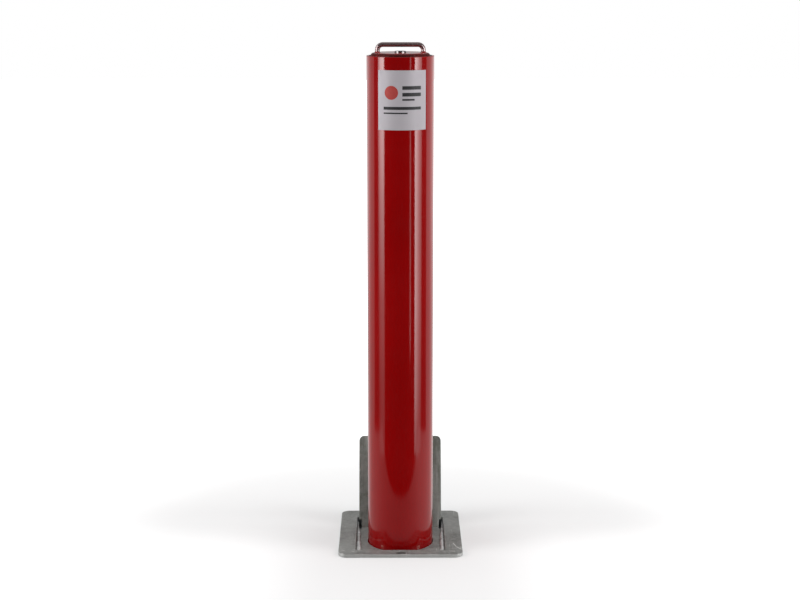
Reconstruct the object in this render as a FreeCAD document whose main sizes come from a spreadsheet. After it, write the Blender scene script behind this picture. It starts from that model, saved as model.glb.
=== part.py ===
"""Lift-out steel bollard with a key lock, standing in its in-ground socket behind which the socket's lid is open.

Millimetres, +Z up. The origin is on the post's axis at ground level, which is the underside of the frame plate.
+X is to the right and +Y to the back, where the lid stands.
"""

import FreeCAD, Part
import math
import os
import Sketcher

OUTPUT_FOLDER = "parts"
THROUGH = 400.0
NEAR = 0.01
SIDES = (("left", -1), ("right", 1))

# Driving sizes in millimetres and degrees, each with what it measures.
DRIVING = {
    "post_diameter": (114.3, "outside of the post tube"),
    "post_wall": (4.0, "wall of the post tube"),
    "post_height": (858.0, "post rim above the ground"),
    "post_depth": (250.0, "post below the ground"),
    "rim_cut": (0.6, "broken outer edge of the tube's rim"),
    "weld_gap": (0.1, "slip of a plate inside the tube that it is welded to"),
    "frame_half_width": (108.5, "frame plate, centre to side"),
    "frame_front": (87.5, "frame plate, post axis to front edge"),
    "frame_back": (137.5, "frame plate, post axis to back edge"),
    "frame_thickness": (6.0, "frame plate"),
    "frame_corner": (15.0, "outer corner radius of the frame plate"),
    "recess_half_width": (79.0, "recess, centre to side"),
    "recess_front": (66.0, "recess, post axis to front edge"),
    "recess_back": (105.0, "recess, post axis to back edge"),
    "recess_corner": (2.0, "inner corner radius of the recess"),
    "seat_thickness": (5.0, "seat plate under the recess"),
    "seat_margin": (14.0, "seat plate beyond the recess, under the frame"),
    "seat_play": (1.35, "radial play of the post in the seat plate"),
    "stop_gap": (0.3, "open lid's heel to the seat plate's edge"),
    "relief_width": (4.5, "relief notches at the lid's heel corners and in the seat's back edge"),
    "relief_height": (15.0, "relief notches up the lid from its heel"),
    "relief_depth": (8.0, "relief notches into the seat"),
    "bead_leg": (3.5, "leg of the weld beads beside the seat"),
    "bead_front_gap": (0.2, "bead end to the recess's front corners"),
    "bead_back_gap": (11.0, "bead end to the recess's back edge"),
    "socket_diameter": (127.0, "outside of the socket tube"),
    "socket_wall": (3.6, "wall of the socket tube"),
    "sump_depth": (27.0, "space between keeper and socket floor"),
    "floor_width": (150.0, "socket floor plate"),
    "floor_thickness": (6.0, "socket floor plate"),
    "floor_corner_cut": (15.0, "cut corners of the socket floor"),
    "drain_diameter": (30.0, "drain in the socket floor"),
    "keeper_thickness": (8.0, "keeper plate that the post stands on"),
    "keeper_slot_length": (47.0, "keeper slot"),
    "keeper_slot_width": (16.0, "keeper slot"),
    "anchor_diameter": (12.0, "anchor bars in the concrete"),
    "anchor_length": (190.0, "anchor bars in the concrete"),
    "anchor_depth": (170.0, "anchor bars below the ground"),
    "anchor_gap": (0.1, "anchor bar to socket tube"),
    "trough_wall": (3.0, "sheet of the heel trough"),
    "trough_depth": (15.0, "inside of the heel trough below the ground"),
    "trough_side_gap": (2.0, "lid's sides to the trough's sides"),
    "trough_drain": (10.0, "drain hole of the heel trough"),
    "trough_drain_side": (50.0, "drain hole, centre to axis"),
    "saddle_gap": (0.3, "trough to socket tube"),
    "lid_width": (150.0, "lid"),
    "lid_thickness": (5.0, "lid"),
    "lid_reach": (148.0, "hinge axis to the lid's free edge"),
    "lid_heel": (20.2, "hinge axis to the lid's heel edge"),
    "lid_corner": (9.0, "rounded free corners of the lid"),
    "lid_lean": (18.5, "open lid's lean beyond upright, in degrees"),
    "finger_hole_diameter": (24.0, "finger hole in the lid"),
    "finger_hole_inset": (26.0, "finger hole to the free edge"),
    "hinge_back": (83.7, "hinge axis behind the post axis"),
    "hinge_rise": (13.5, "hinge axis above the ground"),
    "hinge_pin_diameter": (8.0, "hinge pin"),
    "hinge_fit": (0.05, "radial play of the pin in the fixed arms"),
    "hinge_play": (0.1, "radial play of the lid lugs on the pin"),
    "knuckle_radius": (6.5, "outside of the hinge knuckles"),
    "arm_thickness": (8.0, "hinge arms on the frame"),
    "arm_offset": (60.0, "middle of a hinge arm to the centre"),
    "arm_inset": (5.0, "hinge arm to the frame's back edge"),
    "arm_nose": (14.0, "sloped nose at the back of a hinge arm"),
    "lug_thickness": (11.0, "lugs on the lid"),
    "lug_gap": (0.5, "lid lug to hinge arm"),
    "pin_head_diameter": (13.0, "head of the hinge pin"),
    "pin_head_thickness": (3.0, "head of the hinge pin"),
    "pin_tail": (6.0, "hinge pin beyond the arm"),
    "pin_nut_across": (11.5, "nut on the hinge pin, across flats"),
    "pin_nut_height": (4.0, "nut on the hinge pin"),
    "cap_plug": (8.0, "cap below the rim"),
    "cap_rise": (5.0, "cap above the rim"),
    "cap_sink": (2.0, "groove round the raised disc below the rim"),
    "cap_base_radius": (50.0, "foot of the raised disc"),
    "cap_top_radius": (44.0, "flat of the raised disc"),
    "handle_bar": (8.0, "bar of the lifting handle"),
    "handle_span": (77.0, "between the centre lines of the handle legs"),
    "handle_rise": (17.0, "top of the handle above the cap"),
    "handle_bend": (9.0, "bend radius of the handle's centre line"),
    "handle_tail": (10.0, "handle legs below the cap"),
    "handle_fit": (0.1, "radial play of the legs in the cap"),
    "handle_nut_across": (13.0, "handle nuts across flats"),
    "handle_nut_height": (6.5, "handle nuts"),
    "seat_slip": (0.05, "slip between a fastener and what it seats on or holds"),
    "lock_ring_diameter": (19.5, "visible ring of the lock"),
    "lock_ring_rise": (2.5, "lock ring above the cap"),
    "lock_body_diameter": (17.0, "lock housing in the cap"),
    "lock_body_length": (34.0, "lock housing below the cap's face"),
    "lock_plug_diameter": (12.0, "turning plug"),
    "lock_play": (0.1, "radial play of plug and rod"),
    "lock_plug_sink": (0.8, "plug face below the ring's face"),
    "key_slot_length": (7.5, "key slot"),
    "key_slot_width": (2.0, "key slot"),
    "key_slot_depth": (9.0, "key slot"),
    "lock_nut_across": (24.0, "lock nut across flats"),
    "lock_nut_height": (6.0, "lock nut"),
    "lock_tail": (18.0, "square tail of the plug below the housing"),
    "lock_tail_width": (8.0, "square tail of the plug"),
    "rod_diameter": (10.0, "locking rod"),
    "coupling_width": (16.0, "square coupling between plug and rod"),
    "coupling_length": (34.0, "coupling between plug and rod"),
    "coupling_gap": (2.0, "housing to coupling"),
    "guide_thickness": (5.0, "square rod guides in the tube"),
    "guide_low": (200.0, "lower rod guide above the ground"),
    "guide_high": (560.0, "upper rod guide above the ground"),
    "foot_thickness": (8.0, "eight-sided foot plate in the tube's end"),
    "head_length": (42.0, "cross head of the rod"),
    "head_width": (12.0, "cross head of the rod"),
    "head_height": (10.0, "cross head of the rod"),
    "head_drop": (1.0, "cross head below the keeper"),
    "rod_end": (1.0, "rod beyond the cross head"),
    "label_height": (98.5, "label"),
    "label_top": (21.5, "label below the rim"),
    "label_left": (40.0, "label's left edge from the front, in degrees"),
    "label_right": (47.2, "label's right edge from the front, in degrees"),
    "label_thickness": (0.3, "label"),
    "label_slip": (0.05, "glue line under the label"),
}


class Size:
    """A number together with the sheet expression that it comes from, so geometry is drawn and bound alike."""

    def __init__(self, number, text):
        self.number = float(number)
        self.text = text

    @staticmethod
    def of(value):
        return value if isinstance(value, Size) else Size(value, repr(float(value)))

    def __add__(self, other):
        other = Size.of(other)
        return Size(self.number + other.number, f"({self.text} + {other.text})")

    def __sub__(self, other):
        other = Size.of(other)
        return Size(self.number - other.number, f"({self.text} - {other.text})")

    def __mul__(self, other):
        other = Size.of(other)
        return Size(self.number * other.number, f"({self.text} * {other.text})")

    def __truediv__(self, other):
        other = Size.of(other)
        return Size(self.number / other.number, f"({self.text} / {other.text})")

    def __neg__(self):
        return Size(-self.number, f"(0 - {self.text})")


def sine(angle):
    return Size(math.sin(math.radians(angle.number)), f"sin({angle.text} * 1 deg)")


def cosine(angle):
    return Size(math.cos(math.radians(angle.number)), f"cos({angle.text} * 1 deg)")


class Sizes:
    """The driving sizes, written to the document's sheet and read back from its cells by their aliases."""

    def __init__(self, doc):
        sheet = doc.addObject("Spreadsheet::Sheet", "Sizes")
        for row, (alias, (number, note)) in enumerate(DRIVING.items(), start=1):
            sheet.set(f"A{row}", alias)
            sheet.set(f"B{row}", str(number))
            sheet.setAlias(f"B{row}", alias)
            sheet.set(f"C{row}", note)
        doc.recompute()
        for alias in DRIVING:
            setattr(self, alias, Size(sheet.get(alias), f"Sizes.{alias}"))


doc = FreeCAD.newDocument("removable_bollard")
size = Sizes(doc)

# Places worked out from the driving sizes.
post_radius = size.post_diameter / 2
post_bore = post_radius - size.post_wall
inner_disc_radius = post_bore - size.weld_gap
post_length = size.post_height + size.post_depth
socket_radius = size.socket_diameter / 2
socket_bore = socket_radius - size.socket_wall
keeper_bottom = -(size.post_depth + size.keeper_thickness)
sump_floor = keeper_bottom - size.sump_depth
cap_face = size.post_height + size.cap_rise
lid_half = size.lid_width / 2
relief_inner = lid_half - size.relief_width
lid_inner_offset = size.hinge_rise
lid_outer_offset = size.hinge_rise - size.lid_thickness
heel_front = size.hinge_back - size.hinge_rise * cosine(size.lid_lean) - size.lid_heel * sine(size.lid_lean)
seat_back = heel_front - size.stop_gap
seat_half_width = size.recess_half_width + size.seat_margin
hinge_pin_radius = size.hinge_pin_diameter / 2
arm_outer = size.arm_offset + size.arm_thickness / 2
lug_offset = size.arm_offset - size.arm_thickness / 2 - size.lug_gap - size.lug_thickness / 2
rod_radius = size.rod_diameter / 2
housing_bottom = cap_face - size.lock_body_length
coupling_top = housing_bottom - size.coupling_gap
coupling_bottom = coupling_top - size.coupling_length
head_top = keeper_bottom - size.head_drop
head_bottom = head_top - size.head_height
rod_bottom = head_bottom - size.rod_end
handle_leg = size.handle_span / 2

finished = []


def bind(thing, name, value):
    """Binds one property to a size's expression."""
    thing.setExpression(name, Size.of(value).text)


def finish(thing, label):
    """Counts an object as a sub-part, whose label names its file."""
    thing.Label = label
    finished.append(thing)
    return thing


def start_body(name):
    """Starts a body of sketches and features, which may be one of several in a sub-part."""
    return doc.addObject("PartDesign::Body", name)


def new_body(label):
    """Starts a body that is a sub-part by itself."""
    return finish(start_body(label), label)


def place(thing, x=0.0, y=0.0, z=0.0, axis=None, angle=0.0):
    """Puts a sub-part at its place, turned about an axis if one is given."""
    turn = FreeCAD.Rotation(axis or FreeCAD.Vector(0, 0, 1), Size.of(angle).number)
    base = FreeCAD.Vector(*(Size.of(v).number for v in (x, y, z)))
    thing.Placement = FreeCAD.Placement(base, turn)
    for name, value in (("x", x), ("y", y), ("z", z)):
        if isinstance(value, Size):
            bind(thing, f"Placement.Base.{name}", value)
    if isinstance(angle, Size):
        bind(thing, "Placement.Rotation.Angle", angle)


def new_sketch(body, name, role="XY_Plane", lift=None):
    """Starts a sketch on one of the body's own planes, lifted along the plane's normal."""
    sketch = body.newObject("Sketcher::SketchObject", name)
    plane = next(feature for feature in body.Origin.OriginFeatures if feature.Role == role)
    sketch.AttachmentSupport = [(plane, "")]
    sketch.MapMode = "FlatFace"
    if lift is not None:
        bind(sketch, "AttachmentOffset.Base.z", lift)
    return sketch


def hold(sketch, kind, geometry, point, value):
    """Holds one coordinate of a point of the sketch at a size."""
    value = Size.of(value)
    index = sketch.addConstraint(Sketcher.Constraint(kind, -1, 1, geometry, point, value.number))
    sketch.setExpression(f"Constraints[{index}]", value.text)


def draw_outline(sketch, corners):
    """Draws a closed outline through the corners, each held at its own sizes."""
    count = len(corners)
    first = sketch.GeometryCount
    spots = [FreeCAD.Vector(Size.of(across).number, Size.of(up).number, 0) for across, up in corners]
    for i in range(count):
        sketch.addGeometry(Part.LineSegment(spots[i], spots[(i + 1) % count]), False)
    for i in range(count):
        sketch.addConstraint(Sketcher.Constraint("Coincident", first + i, 2, first + (i + 1) % count, 1))
    for i, (across, up) in enumerate(corners):
        hold(sketch, "DistanceX", first + i, 1, across)
        hold(sketch, "DistanceY", first + i, 1, up)


def draw_rectangle(sketch, left, right, low, high):
    draw_outline(sketch, [(left, low), (right, low), (right, high), (left, high)])


def draw_circle(sketch, radius, across=0.0, up=0.0):
    """Draws a circle with its centre and radius held at sizes."""
    radius = Size.of(radius)
    centre = FreeCAD.Vector(Size.of(across).number, Size.of(up).number, 0)
    geometry = sketch.addGeometry(Part.Circle(centre, FreeCAD.Vector(0, 0, 1), radius.number), False)
    hold(sketch, "DistanceX", geometry, 3, across)
    hold(sketch, "DistanceY", geometry, 3, up)
    index = sketch.addConstraint(Sketcher.Constraint("Radius", geometry, radius.number))
    sketch.setExpression(f"Constraints[{index}]", radius.text)


def pad(body, sketch, length, reverse=False, middle=False):
    """Grows a sketch into the body."""
    feature = body.newObject("PartDesign::Pad", f"{sketch.Name}_pad")
    feature.Profile = sketch
    bind(feature, "Length", length)
    feature.Reversed = reverse
    feature.Midplane = middle
    doc.recompute()
    return feature


def pocket(body, sketch, depth=THROUGH, reverse=False, middle=True):
    """Cuts a sketch out of the body and makes sure that it took something away."""
    before = body.Shape.Volume
    feature = body.newObject("PartDesign::Pocket", f"{sketch.Name}_pocket")
    feature.Profile = sketch
    bind(feature, "Length", depth)
    feature.Reversed = reverse
    feature.Midplane = middle
    doc.recompute()
    if not body.Shape.Volume < before:
        raise RuntimeError(f"{sketch.Name} cuts nothing from {body.Label}")
    return feature


def revolve(body, sketch, axis_name):
    """Turns a half profile round one of the sketch's own axes."""
    feature = body.newObject("PartDesign::Revolution", f"{sketch.Name}_turned")
    feature.Profile = sketch
    feature.ReferenceAxis = (sketch, [axis_name])
    feature.Angle = 360.0
    doc.recompute()
    return feature


def edges_where(feature, test):
    """Names the edges whose middle point and direction pass a test."""
    names = []
    for number, edge in enumerate(feature.Shape.Edges, start=1):
        middle = edge.valueAt((edge.FirstParameter + edge.LastParameter) / 2)
        if test(edge, middle):
            names.append(f"Edge{number}")
    return names


def is_upright(edge, axis=FreeCAD.Vector(0, 0, 1)):
    """Whether an edge is straight and runs along an axis."""
    return edge.Curve.TypeId == "Part::GeomLine" and abs(edge.Curve.Direction.dot(axis)) > 0.999


def round_edges(body, feature, radius, test):
    """Rounds the edges that pass a test."""
    rounding = body.newObject("PartDesign::Fillet", f"{feature.Name}_rounded")
    rounding.Base = (feature, edges_where(feature, test))
    bind(rounding, "Radius", radius)
    doc.recompute()
    return rounding


def cut_corners(body, feature, length, test):
    """Chamfers the edges that pass a test."""
    cut = body.newObject("PartDesign::Chamfer", f"{feature.Name}_cut")
    cut.Base = (feature, edges_where(feature, test))
    bind(cut, "Size", length)
    doc.recompute()
    return cut


def ring_body(label, outer, inner, height, base):
    """Makes a tube, disc or washer about the post axis, from its base up."""
    body = new_body(label)
    section = new_sketch(body, f"{label}_section")
    draw_circle(section, outer)
    draw_circle(section, inner)
    pad(body, section, height)
    place(body, z=base)
    return body


def cylinder(name, radius, height, **where):
    """Makes a round bar that stands for a sub-part or a tool of one."""
    bar = doc.addObject("Part::Cylinder", name)
    bind(bar, "Radius", radius)
    bind(bar, "Height", height)
    place(bar, **where)
    return bar


def box(name, length, width, height, **where):
    """Makes a block that stands for a tool of a sub-part."""
    block = doc.addObject("Part::Box", name)
    bind(block, "Length", length)
    bind(block, "Width", width)
    bind(block, "Height", height)
    place(block, **where)
    return block


def cut_away(label, base, tools):
    """Cuts one tool or several from a base."""
    tool = tools[0]
    if len(tools) > 1:
        tool = doc.addObject("Part::MultiFuse", f"{label}_tools")
        tool.Shapes = tools
    result = doc.addObject("Part::Cut", label)
    result.Base = base
    result.Tool = tool
    return result


def group(label, members):
    """Keeps like pieces together as one sub-part of separate solids."""
    compound = finish(doc.addObject("Part::Compound", label), label)
    compound.Links = members


def bored_prism(name, sides, corner_radius, height, bore, **where):
    """Makes a regular prism with a round bore, for nuts and plates cut from flat stock."""
    prism = doc.addObject("Part::Prism", f"{name}_prism")
    prism.Polygon = sides
    bind(prism, "Circumradius", corner_radius)
    bind(prism, "Height", height)
    hole = cylinder(f"{name}_hole", bore, height)
    bored = cut_away(name, prism, [hole])
    place(bored, **where)
    return bored


def hex_nut(name, across, height, bore, **where):
    """Makes a hexagon nut from its width across flats."""
    return bored_prism(name, 6, across / (cosine(Size.of(30)) * 2), height, bore, **where)


def make_frame_plate():
    """The plate that lies level with the ground round the recess."""
    body = new_body("frame_plate")
    outline = new_sketch(body, "frame_outline")
    draw_rectangle(outline, -size.frame_half_width, size.frame_half_width, -size.frame_front, size.frame_back)
    plate = pad(body, outline, size.frame_thickness)
    rounded = round_edges(body, plate, size.frame_corner, lambda edge, middle: is_upright(edge))
    recess = new_sketch(body, "recess_outline")
    draw_rectangle(recess, -size.recess_half_width, size.recess_half_width, -size.recess_front, size.recess_back)
    opened = pocket(body, recess)
    side, front, back = (spot.number + NEAR for spot in (size.recess_half_width, size.recess_front, size.recess_back))
    round_edges(body, opened, size.recess_corner,
                lambda edge, middle: is_upright(edge) and abs(middle.x) < side and -front < middle.y < back)
    place(body)


def make_seat_plate():
    """The plate under the recess, with the post's hole, ending where the open lid's heel stops against it."""
    body = new_body("seat_plate")
    outline = new_sketch(body, "seat_outline")
    front = -(size.recess_front + size.seat_margin)
    draw_rectangle(outline, -seat_half_width, seat_half_width, front, seat_back)
    draw_circle(outline, post_radius + size.seat_play)
    pad(body, outline, size.seat_thickness)
    reliefs = new_sketch(body, "seat_reliefs")
    relief_front = seat_back - size.relief_depth
    draw_rectangle(reliefs, -lid_half, -relief_inner, relief_front, seat_back)
    draw_rectangle(reliefs, relief_inner, lid_half, relief_front, seat_back)
    pocket(body, reliefs)
    place(body, z=-size.seat_thickness)


def make_recess_welds():
    """The weld beads in the two long corners between frame and seat."""
    beads = []
    for side, sign in SIDES:
        wall = size.recess_half_width * sign
        section = doc.addObject("Sketcher::SketchObject", f"bead_section_{side}")
        section.Placement = FreeCAD.Placement(FreeCAD.Vector(), FreeCAD.Rotation(FreeCAD.Vector(1, 0, 0), 90))
        draw_outline(section, [(wall, 0.0), (wall - size.bead_leg * sign, 0.0), (wall, size.bead_leg)])
        bead = doc.addObject("Part::Extrusion", f"bead_{side}")
        bead.Base = section
        bead.DirMode = "Custom"
        bead.Dir = FreeCAD.Vector(0, 1, 0)
        bead.Solid = True
        bind(bead, "LengthFwd", size.recess_back - size.bead_back_gap)
        bind(bead, "LengthRev", size.recess_front - size.recess_corner - size.bead_front_gap)
        beads.append(bead)
    group("recess_welds", beads)


def make_socket():
    """The tube in the ground, its floor, and the keeper that the post stands on and locks under."""
    floor_depth = -sump_floor
    ring_body("socket_tube", socket_radius, socket_bore, floor_depth - size.seat_thickness, sump_floor)

    floor = new_body("socket_floor")
    outline = new_sketch(floor, "floor_outline")
    half = size.floor_width / 2
    draw_rectangle(outline, -half, half, -half, half)
    draw_circle(outline, size.drain_diameter / 2)
    plate = pad(floor, outline, size.floor_thickness)
    cut_corners(floor, plate, size.floor_corner_cut, lambda edge, middle: is_upright(edge))
    place(floor, z=sump_floor - size.floor_thickness)

    keeper = new_body("keeper_plate")
    disc = new_sketch(keeper, "keeper_disc")
    draw_circle(disc, socket_bore - size.weld_gap)
    plate = pad(keeper, disc, size.keeper_thickness)
    slot = new_sketch(keeper, "keeper_slot")
    long_half = size.keeper_slot_length / 2
    short_half = size.keeper_slot_width / 2
    draw_rectangle(slot, -long_half, long_half, -short_half, short_half)
    pocket(keeper, slot)
    place(keeper, z=keeper_bottom)


def make_anchor_bars():
    """Two bars welded across the socket tube, which hold it in the concrete."""
    radius = size.anchor_diameter / 2
    bars = []
    for side, sign in (("front", -1), ("back", 1)):
        offset = (socket_radius + radius + size.anchor_gap) * sign
        bars.append(cylinder(f"anchor_bar_{side}", radius, size.anchor_length, x=-(size.anchor_length / 2), y=offset,
                             z=-size.anchor_depth, axis=FreeCAD.Vector(0, 1, 0), angle=90))
    group("anchor_bars", bars)


def make_lid_trough():
    """The folded trough behind the seat, where the lid's heel swings below the ground."""
    wall = size.trough_wall
    inside = lid_half + size.trough_side_gap
    half = inside + wall
    front = seat_back - wall
    back = size.recess_back + wall
    depth = size.trough_depth + wall
    blank = box("trough_blank", half * 2, back - front, depth, x=-half, y=front, z=-depth)
    hollow = box("trough_hollow", inside * 2, size.recess_back - seat_back, depth, x=-inside, y=seat_back,
                 z=-size.trough_depth)
    lip = box("trough_lip", half * 2, wall, depth, x=-half, y=front, z=-size.seat_thickness)
    saddle = cylinder("trough_saddle", socket_radius + size.saddle_gap, depth * 2, z=-depth * 2)
    middle = (seat_back + size.recess_back) / 2
    drains = [cylinder(f"trough_drain_{side}", size.trough_drain / 2, depth * 2, x=size.trough_drain_side * sign,
                       y=middle, z=-depth * 2) for side, sign in SIDES]
    finish(cut_away("lid_trough", blank, [hollow, lip, saddle, *drains]), "lid_trough")


def make_hinge_arms():
    """Two arms on the frame's back margin that reach over the trough to the hinge pin."""
    half = size.arm_thickness / 2
    back = size.frame_back - size.arm_inset
    top = size.hinge_rise + size.knuckle_radius
    arms = []
    for side, sign in SIDES:
        arm = start_body(f"hinge_arm_{side}")
        profile = new_sketch(arm, f"arm_profile_{side}", "YZ_Plane", lift=-half)
        draw_outline(profile, [
            (size.hinge_back, size.frame_thickness),
            (back, size.frame_thickness),
            (back, size.hinge_rise),
            (back - size.arm_nose, top),
            (size.hinge_back, top),
        ])
        pad(arm, profile, size.arm_thickness)
        eye = new_sketch(arm, f"arm_eye_{side}", "YZ_Plane", lift=-half)
        draw_circle(eye, size.knuckle_radius, size.hinge_back, size.hinge_rise)
        pad(arm, eye, size.arm_thickness)
        bore = new_sketch(arm, f"arm_bore_{side}", "YZ_Plane")
        draw_circle(bore, hinge_pin_radius + size.hinge_fit, size.hinge_back, size.hinge_rise)
        pocket(arm, bore)
        place(arm, x=size.arm_offset * sign)
        arms.append(arm)
    group("hinge_arms", arms)


def make_hinge_pin():
    """The headed pin through both arms, and the thin nut that keeps it in."""
    body = new_body("hinge_pin")
    profile = new_sketch(body, "pin_profile")
    head = -(arm_outer + size.seat_slip)
    tail = arm_outer + size.pin_tail
    head_radius = size.pin_head_diameter / 2
    draw_outline(profile, [
        (head - size.pin_head_thickness, 0.0),
        (tail, 0.0),
        (tail, hinge_pin_radius),
        (head, hinge_pin_radius),
        (head, head_radius),
        (head - size.pin_head_thickness, head_radius),
    ])
    revolve(body, profile, "H_Axis")
    place(body, y=size.hinge_back, z=size.hinge_rise)

    nut = hex_nut("hinge_nut", size.pin_nut_across, size.pin_nut_height, hinge_pin_radius + size.seat_slip,
                  x=arm_outer + size.seat_slip, y=size.hinge_back, z=size.hinge_rise,
                  axis=FreeCAD.Vector(0, 1, 0), angle=90)
    finish(nut, "hinge_nut")


def lean_back(body, x=0.0):
    """Stands a piece of the lid at the hinge axis, leaning back as the open lid does."""
    place(body, x=x, y=size.hinge_back, z=size.hinge_rise, axis=FreeCAD.Vector(-1, 0, 0), angle=size.lid_lean)


def make_lid():
    """The lid and its two hinge lugs, drawn upright about the hinge axis."""
    body = new_body("lid_plate")
    outline = new_sketch(body, "lid_outline", "XZ_Plane", lift=lid_outer_offset)
    relief_top = size.relief_height - size.lid_heel
    draw_outline(outline, [
        (-relief_inner, -size.lid_heel),
        (relief_inner, -size.lid_heel),
        (relief_inner, relief_top),
        (lid_half, relief_top),
        (lid_half, size.lid_reach),
        (-lid_half, size.lid_reach),
        (-lid_half, relief_top),
        (-relief_inner, relief_top),
    ])
    draw_circle(outline, size.finger_hole_diameter / 2, 0.0, size.lid_reach - size.finger_hole_inset)
    plate = pad(body, outline, size.lid_thickness)
    across = FreeCAD.Vector(0, 1, 0)
    round_edges(body, plate, size.lid_corner,
                lambda edge, middle: is_upright(edge, across) and middle.z > size.lid_reach.number / 2)
    lean_back(body)

    thick = size.lug_thickness
    lugs = []
    for side, sign in SIDES:
        lug = start_body(f"lid_lug_{side}")
        foot = new_sketch(lug, f"lug_foot_{side}", "YZ_Plane", lift=-(thick / 2))
        draw_rectangle(foot, -lid_outer_offset, 0.0, -size.knuckle_radius, size.knuckle_radius)
        pad(lug, foot, thick)
        eye = new_sketch(lug, f"lug_eye_{side}", "YZ_Plane", lift=-(thick / 2))
        draw_circle(eye, size.knuckle_radius)
        pad(lug, eye, thick)
        bore = new_sketch(lug, f"lug_bore_{side}", "YZ_Plane")
        draw_circle(bore, hinge_pin_radius + size.hinge_play)
        pocket(lug, bore)
        lean_back(lug, x=lug_offset * sign)
        lugs.append(lug)
    group("lid_lugs", lugs)


def make_post():
    """The post tube with the plates welded inside it, and its label."""
    tube = new_body("post_tube")
    section = new_sketch(tube, "post_section")
    draw_circle(section, post_radius)
    draw_circle(section, post_bore)
    long_tube = pad(tube, section, post_length)
    cut_corners(tube, long_tube, size.rim_cut, lambda edge, middle: edge.Curve.TypeId == "Part::GeomCircle"
                and edge.Curve.Radius > post_bore.number + NEAR and middle.z > NEAR)
    place(tube, z=-size.post_depth)

    rod_hole = rod_radius + size.lock_play
    guides = [bored_prism(f"rod_guide_{name}", 4, inner_disc_radius, size.guide_thickness, rod_hole, z=base)
              for name, base in (("low", size.guide_low), ("high", size.guide_high))]
    group("rod_guides", guides)
    finish(bored_prism("foot_plate", 8, inner_disc_radius, size.foot_thickness, rod_hole, z=-size.post_depth),
           "foot_plate")

    label = new_body("label")
    strip = new_sketch(label, "label_strip")
    draw_circle(strip, post_radius + size.label_slip + size.label_thickness)
    draw_circle(strip, post_radius + size.label_slip)
    pad(label, strip, size.label_height)
    beyond = new_sketch(label, "beyond_label_edges")
    ray = size.post_diameter
    right = (sine(size.label_right) * ray, -(cosine(size.label_right) * ray))
    left = (-(sine(size.label_left) * ray), -(cosine(size.label_left) * ray))
    draw_outline(beyond, [(0.0, 0.0), right, (ray, ray), (-ray, ray), left])
    pocket(label, beyond)
    place(label, z=size.post_height - size.label_top - size.label_height)


def make_cap():
    """The cap, a turned plug with a raised disc in a groove, drilled for handle and lock."""
    body = new_body("top_cap")
    profile = new_sketch(body, "cap_profile", "XZ_Plane")
    draw_outline(profile, [
        (0.0, -size.cap_plug),
        (inner_disc_radius, -size.cap_plug),
        (inner_disc_radius, -size.cap_sink),
        (size.cap_base_radius, -size.cap_sink),
        (size.cap_top_radius, size.cap_rise),
        (0.0, size.cap_rise),
    ])
    revolve(body, profile, "V_Axis")
    holes = new_sketch(body, "cap_holes")
    draw_circle(holes, size.lock_body_diameter / 2 + size.seat_slip)
    for sign in (-1, 1):
        draw_circle(holes, size.handle_bar / 2 + size.handle_fit, handle_leg * sign, 0.0)
    pocket(body, holes)
    place(body, z=size.post_height)


def make_handle():
    """The bow handle, one bar bent twice, with its nuts under the cap."""
    body = new_body("lift_handle")
    radius = size.handle_bar / 2
    low = -(size.cap_rise + size.cap_plug + size.handle_tail)
    top = size.handle_rise - radius
    bend = size.handle_bend
    inner = handle_leg - bend
    path = new_sketch(body, "handle_path", "XZ_Plane")
    runs = [((-handle_leg, low), (-handle_leg, top - bend)), ((-inner, top), (inner, top)),
            ((handle_leg, top - bend), (handle_leg, low))]
    for start, end in runs:
        ends = [FreeCAD.Vector(across.number, up.number, 0) for across, up in (start, end)]
        line = path.addGeometry(Part.LineSegment(*ends), False)
        for point, (across, up) in ((1, start), (2, end)):
            hold(path, "DistanceX", line, point, across)
            hold(path, "DistanceY", line, point, up)
    quarter = math.pi / 2
    for sign, first, second, start in ((-1, 0, 1, quarter), (1, 1, 2, 0.0)):
        centre = FreeCAD.Vector(inner.number * sign, top.number - bend.number, 0)
        circle = Part.Circle(centre, FreeCAD.Vector(0, 0, 1), bend.number)
        arc = path.addGeometry(Part.ArcOfCircle(circle, start, start + quarter), False)
        path.addConstraint(Sketcher.Constraint("Coincident", arc, 1, second, 1))
        path.addConstraint(Sketcher.Constraint("Coincident", arc, 2, first, 2))
        index = path.addConstraint(Sketcher.Constraint("Radius", arc, bend.number))
        path.setExpression(f"Constraints[{index}]", bend.text)
    section = new_sketch(body, "handle_section", lift=low)
    draw_circle(section, radius, -handle_leg, 0.0)
    doc.recompute()
    bow = body.newObject("PartDesign::AdditivePipe", "handle_bow")
    bow.Profile = section
    bow.Spine = path
    doc.recompute()
    place(body, z=cap_face)

    nut_base = size.post_height - size.cap_plug - size.seat_slip - size.handle_nut_height
    nuts = [hex_nut(f"handle_nut_{side}", size.handle_nut_across, size.handle_nut_height, radius + size.seat_slip,
                    x=handle_leg * sign, z=nut_base) for side, sign in SIDES]
    group("handle_nuts", nuts)


def make_lock():
    """The lock in the cap: a ringed housing held by its nut."""
    housing = new_body("lock_housing")
    profile = new_sketch(housing, "housing_profile", "XZ_Plane")
    bore = size.lock_plug_diameter / 2 + size.lock_play
    body_radius = size.lock_body_diameter / 2
    ring_radius = size.lock_ring_diameter / 2
    lip = size.seat_slip
    draw_outline(profile, [
        (bore, -size.lock_body_length),
        (body_radius, -size.lock_body_length),
        (body_radius, lip),
        (ring_radius, lip),
        (ring_radius, size.lock_ring_rise),
        (bore, size.lock_ring_rise),
    ])
    revolve(housing, profile, "V_Axis")
    place(housing, z=cap_face)

    nut_top = size.post_height - size.cap_plug - size.seat_slip
    finish(hex_nut("lock_nut", size.lock_nut_across, size.lock_nut_height, body_radius + size.seat_slip,
                   z=nut_top - size.lock_nut_height), "lock_nut")


def draw_square(sketch, width):
    """Draws a square about the sketch's middle."""
    half = width / 2
    draw_rectangle(sketch, -half, half, -half, half)


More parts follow.
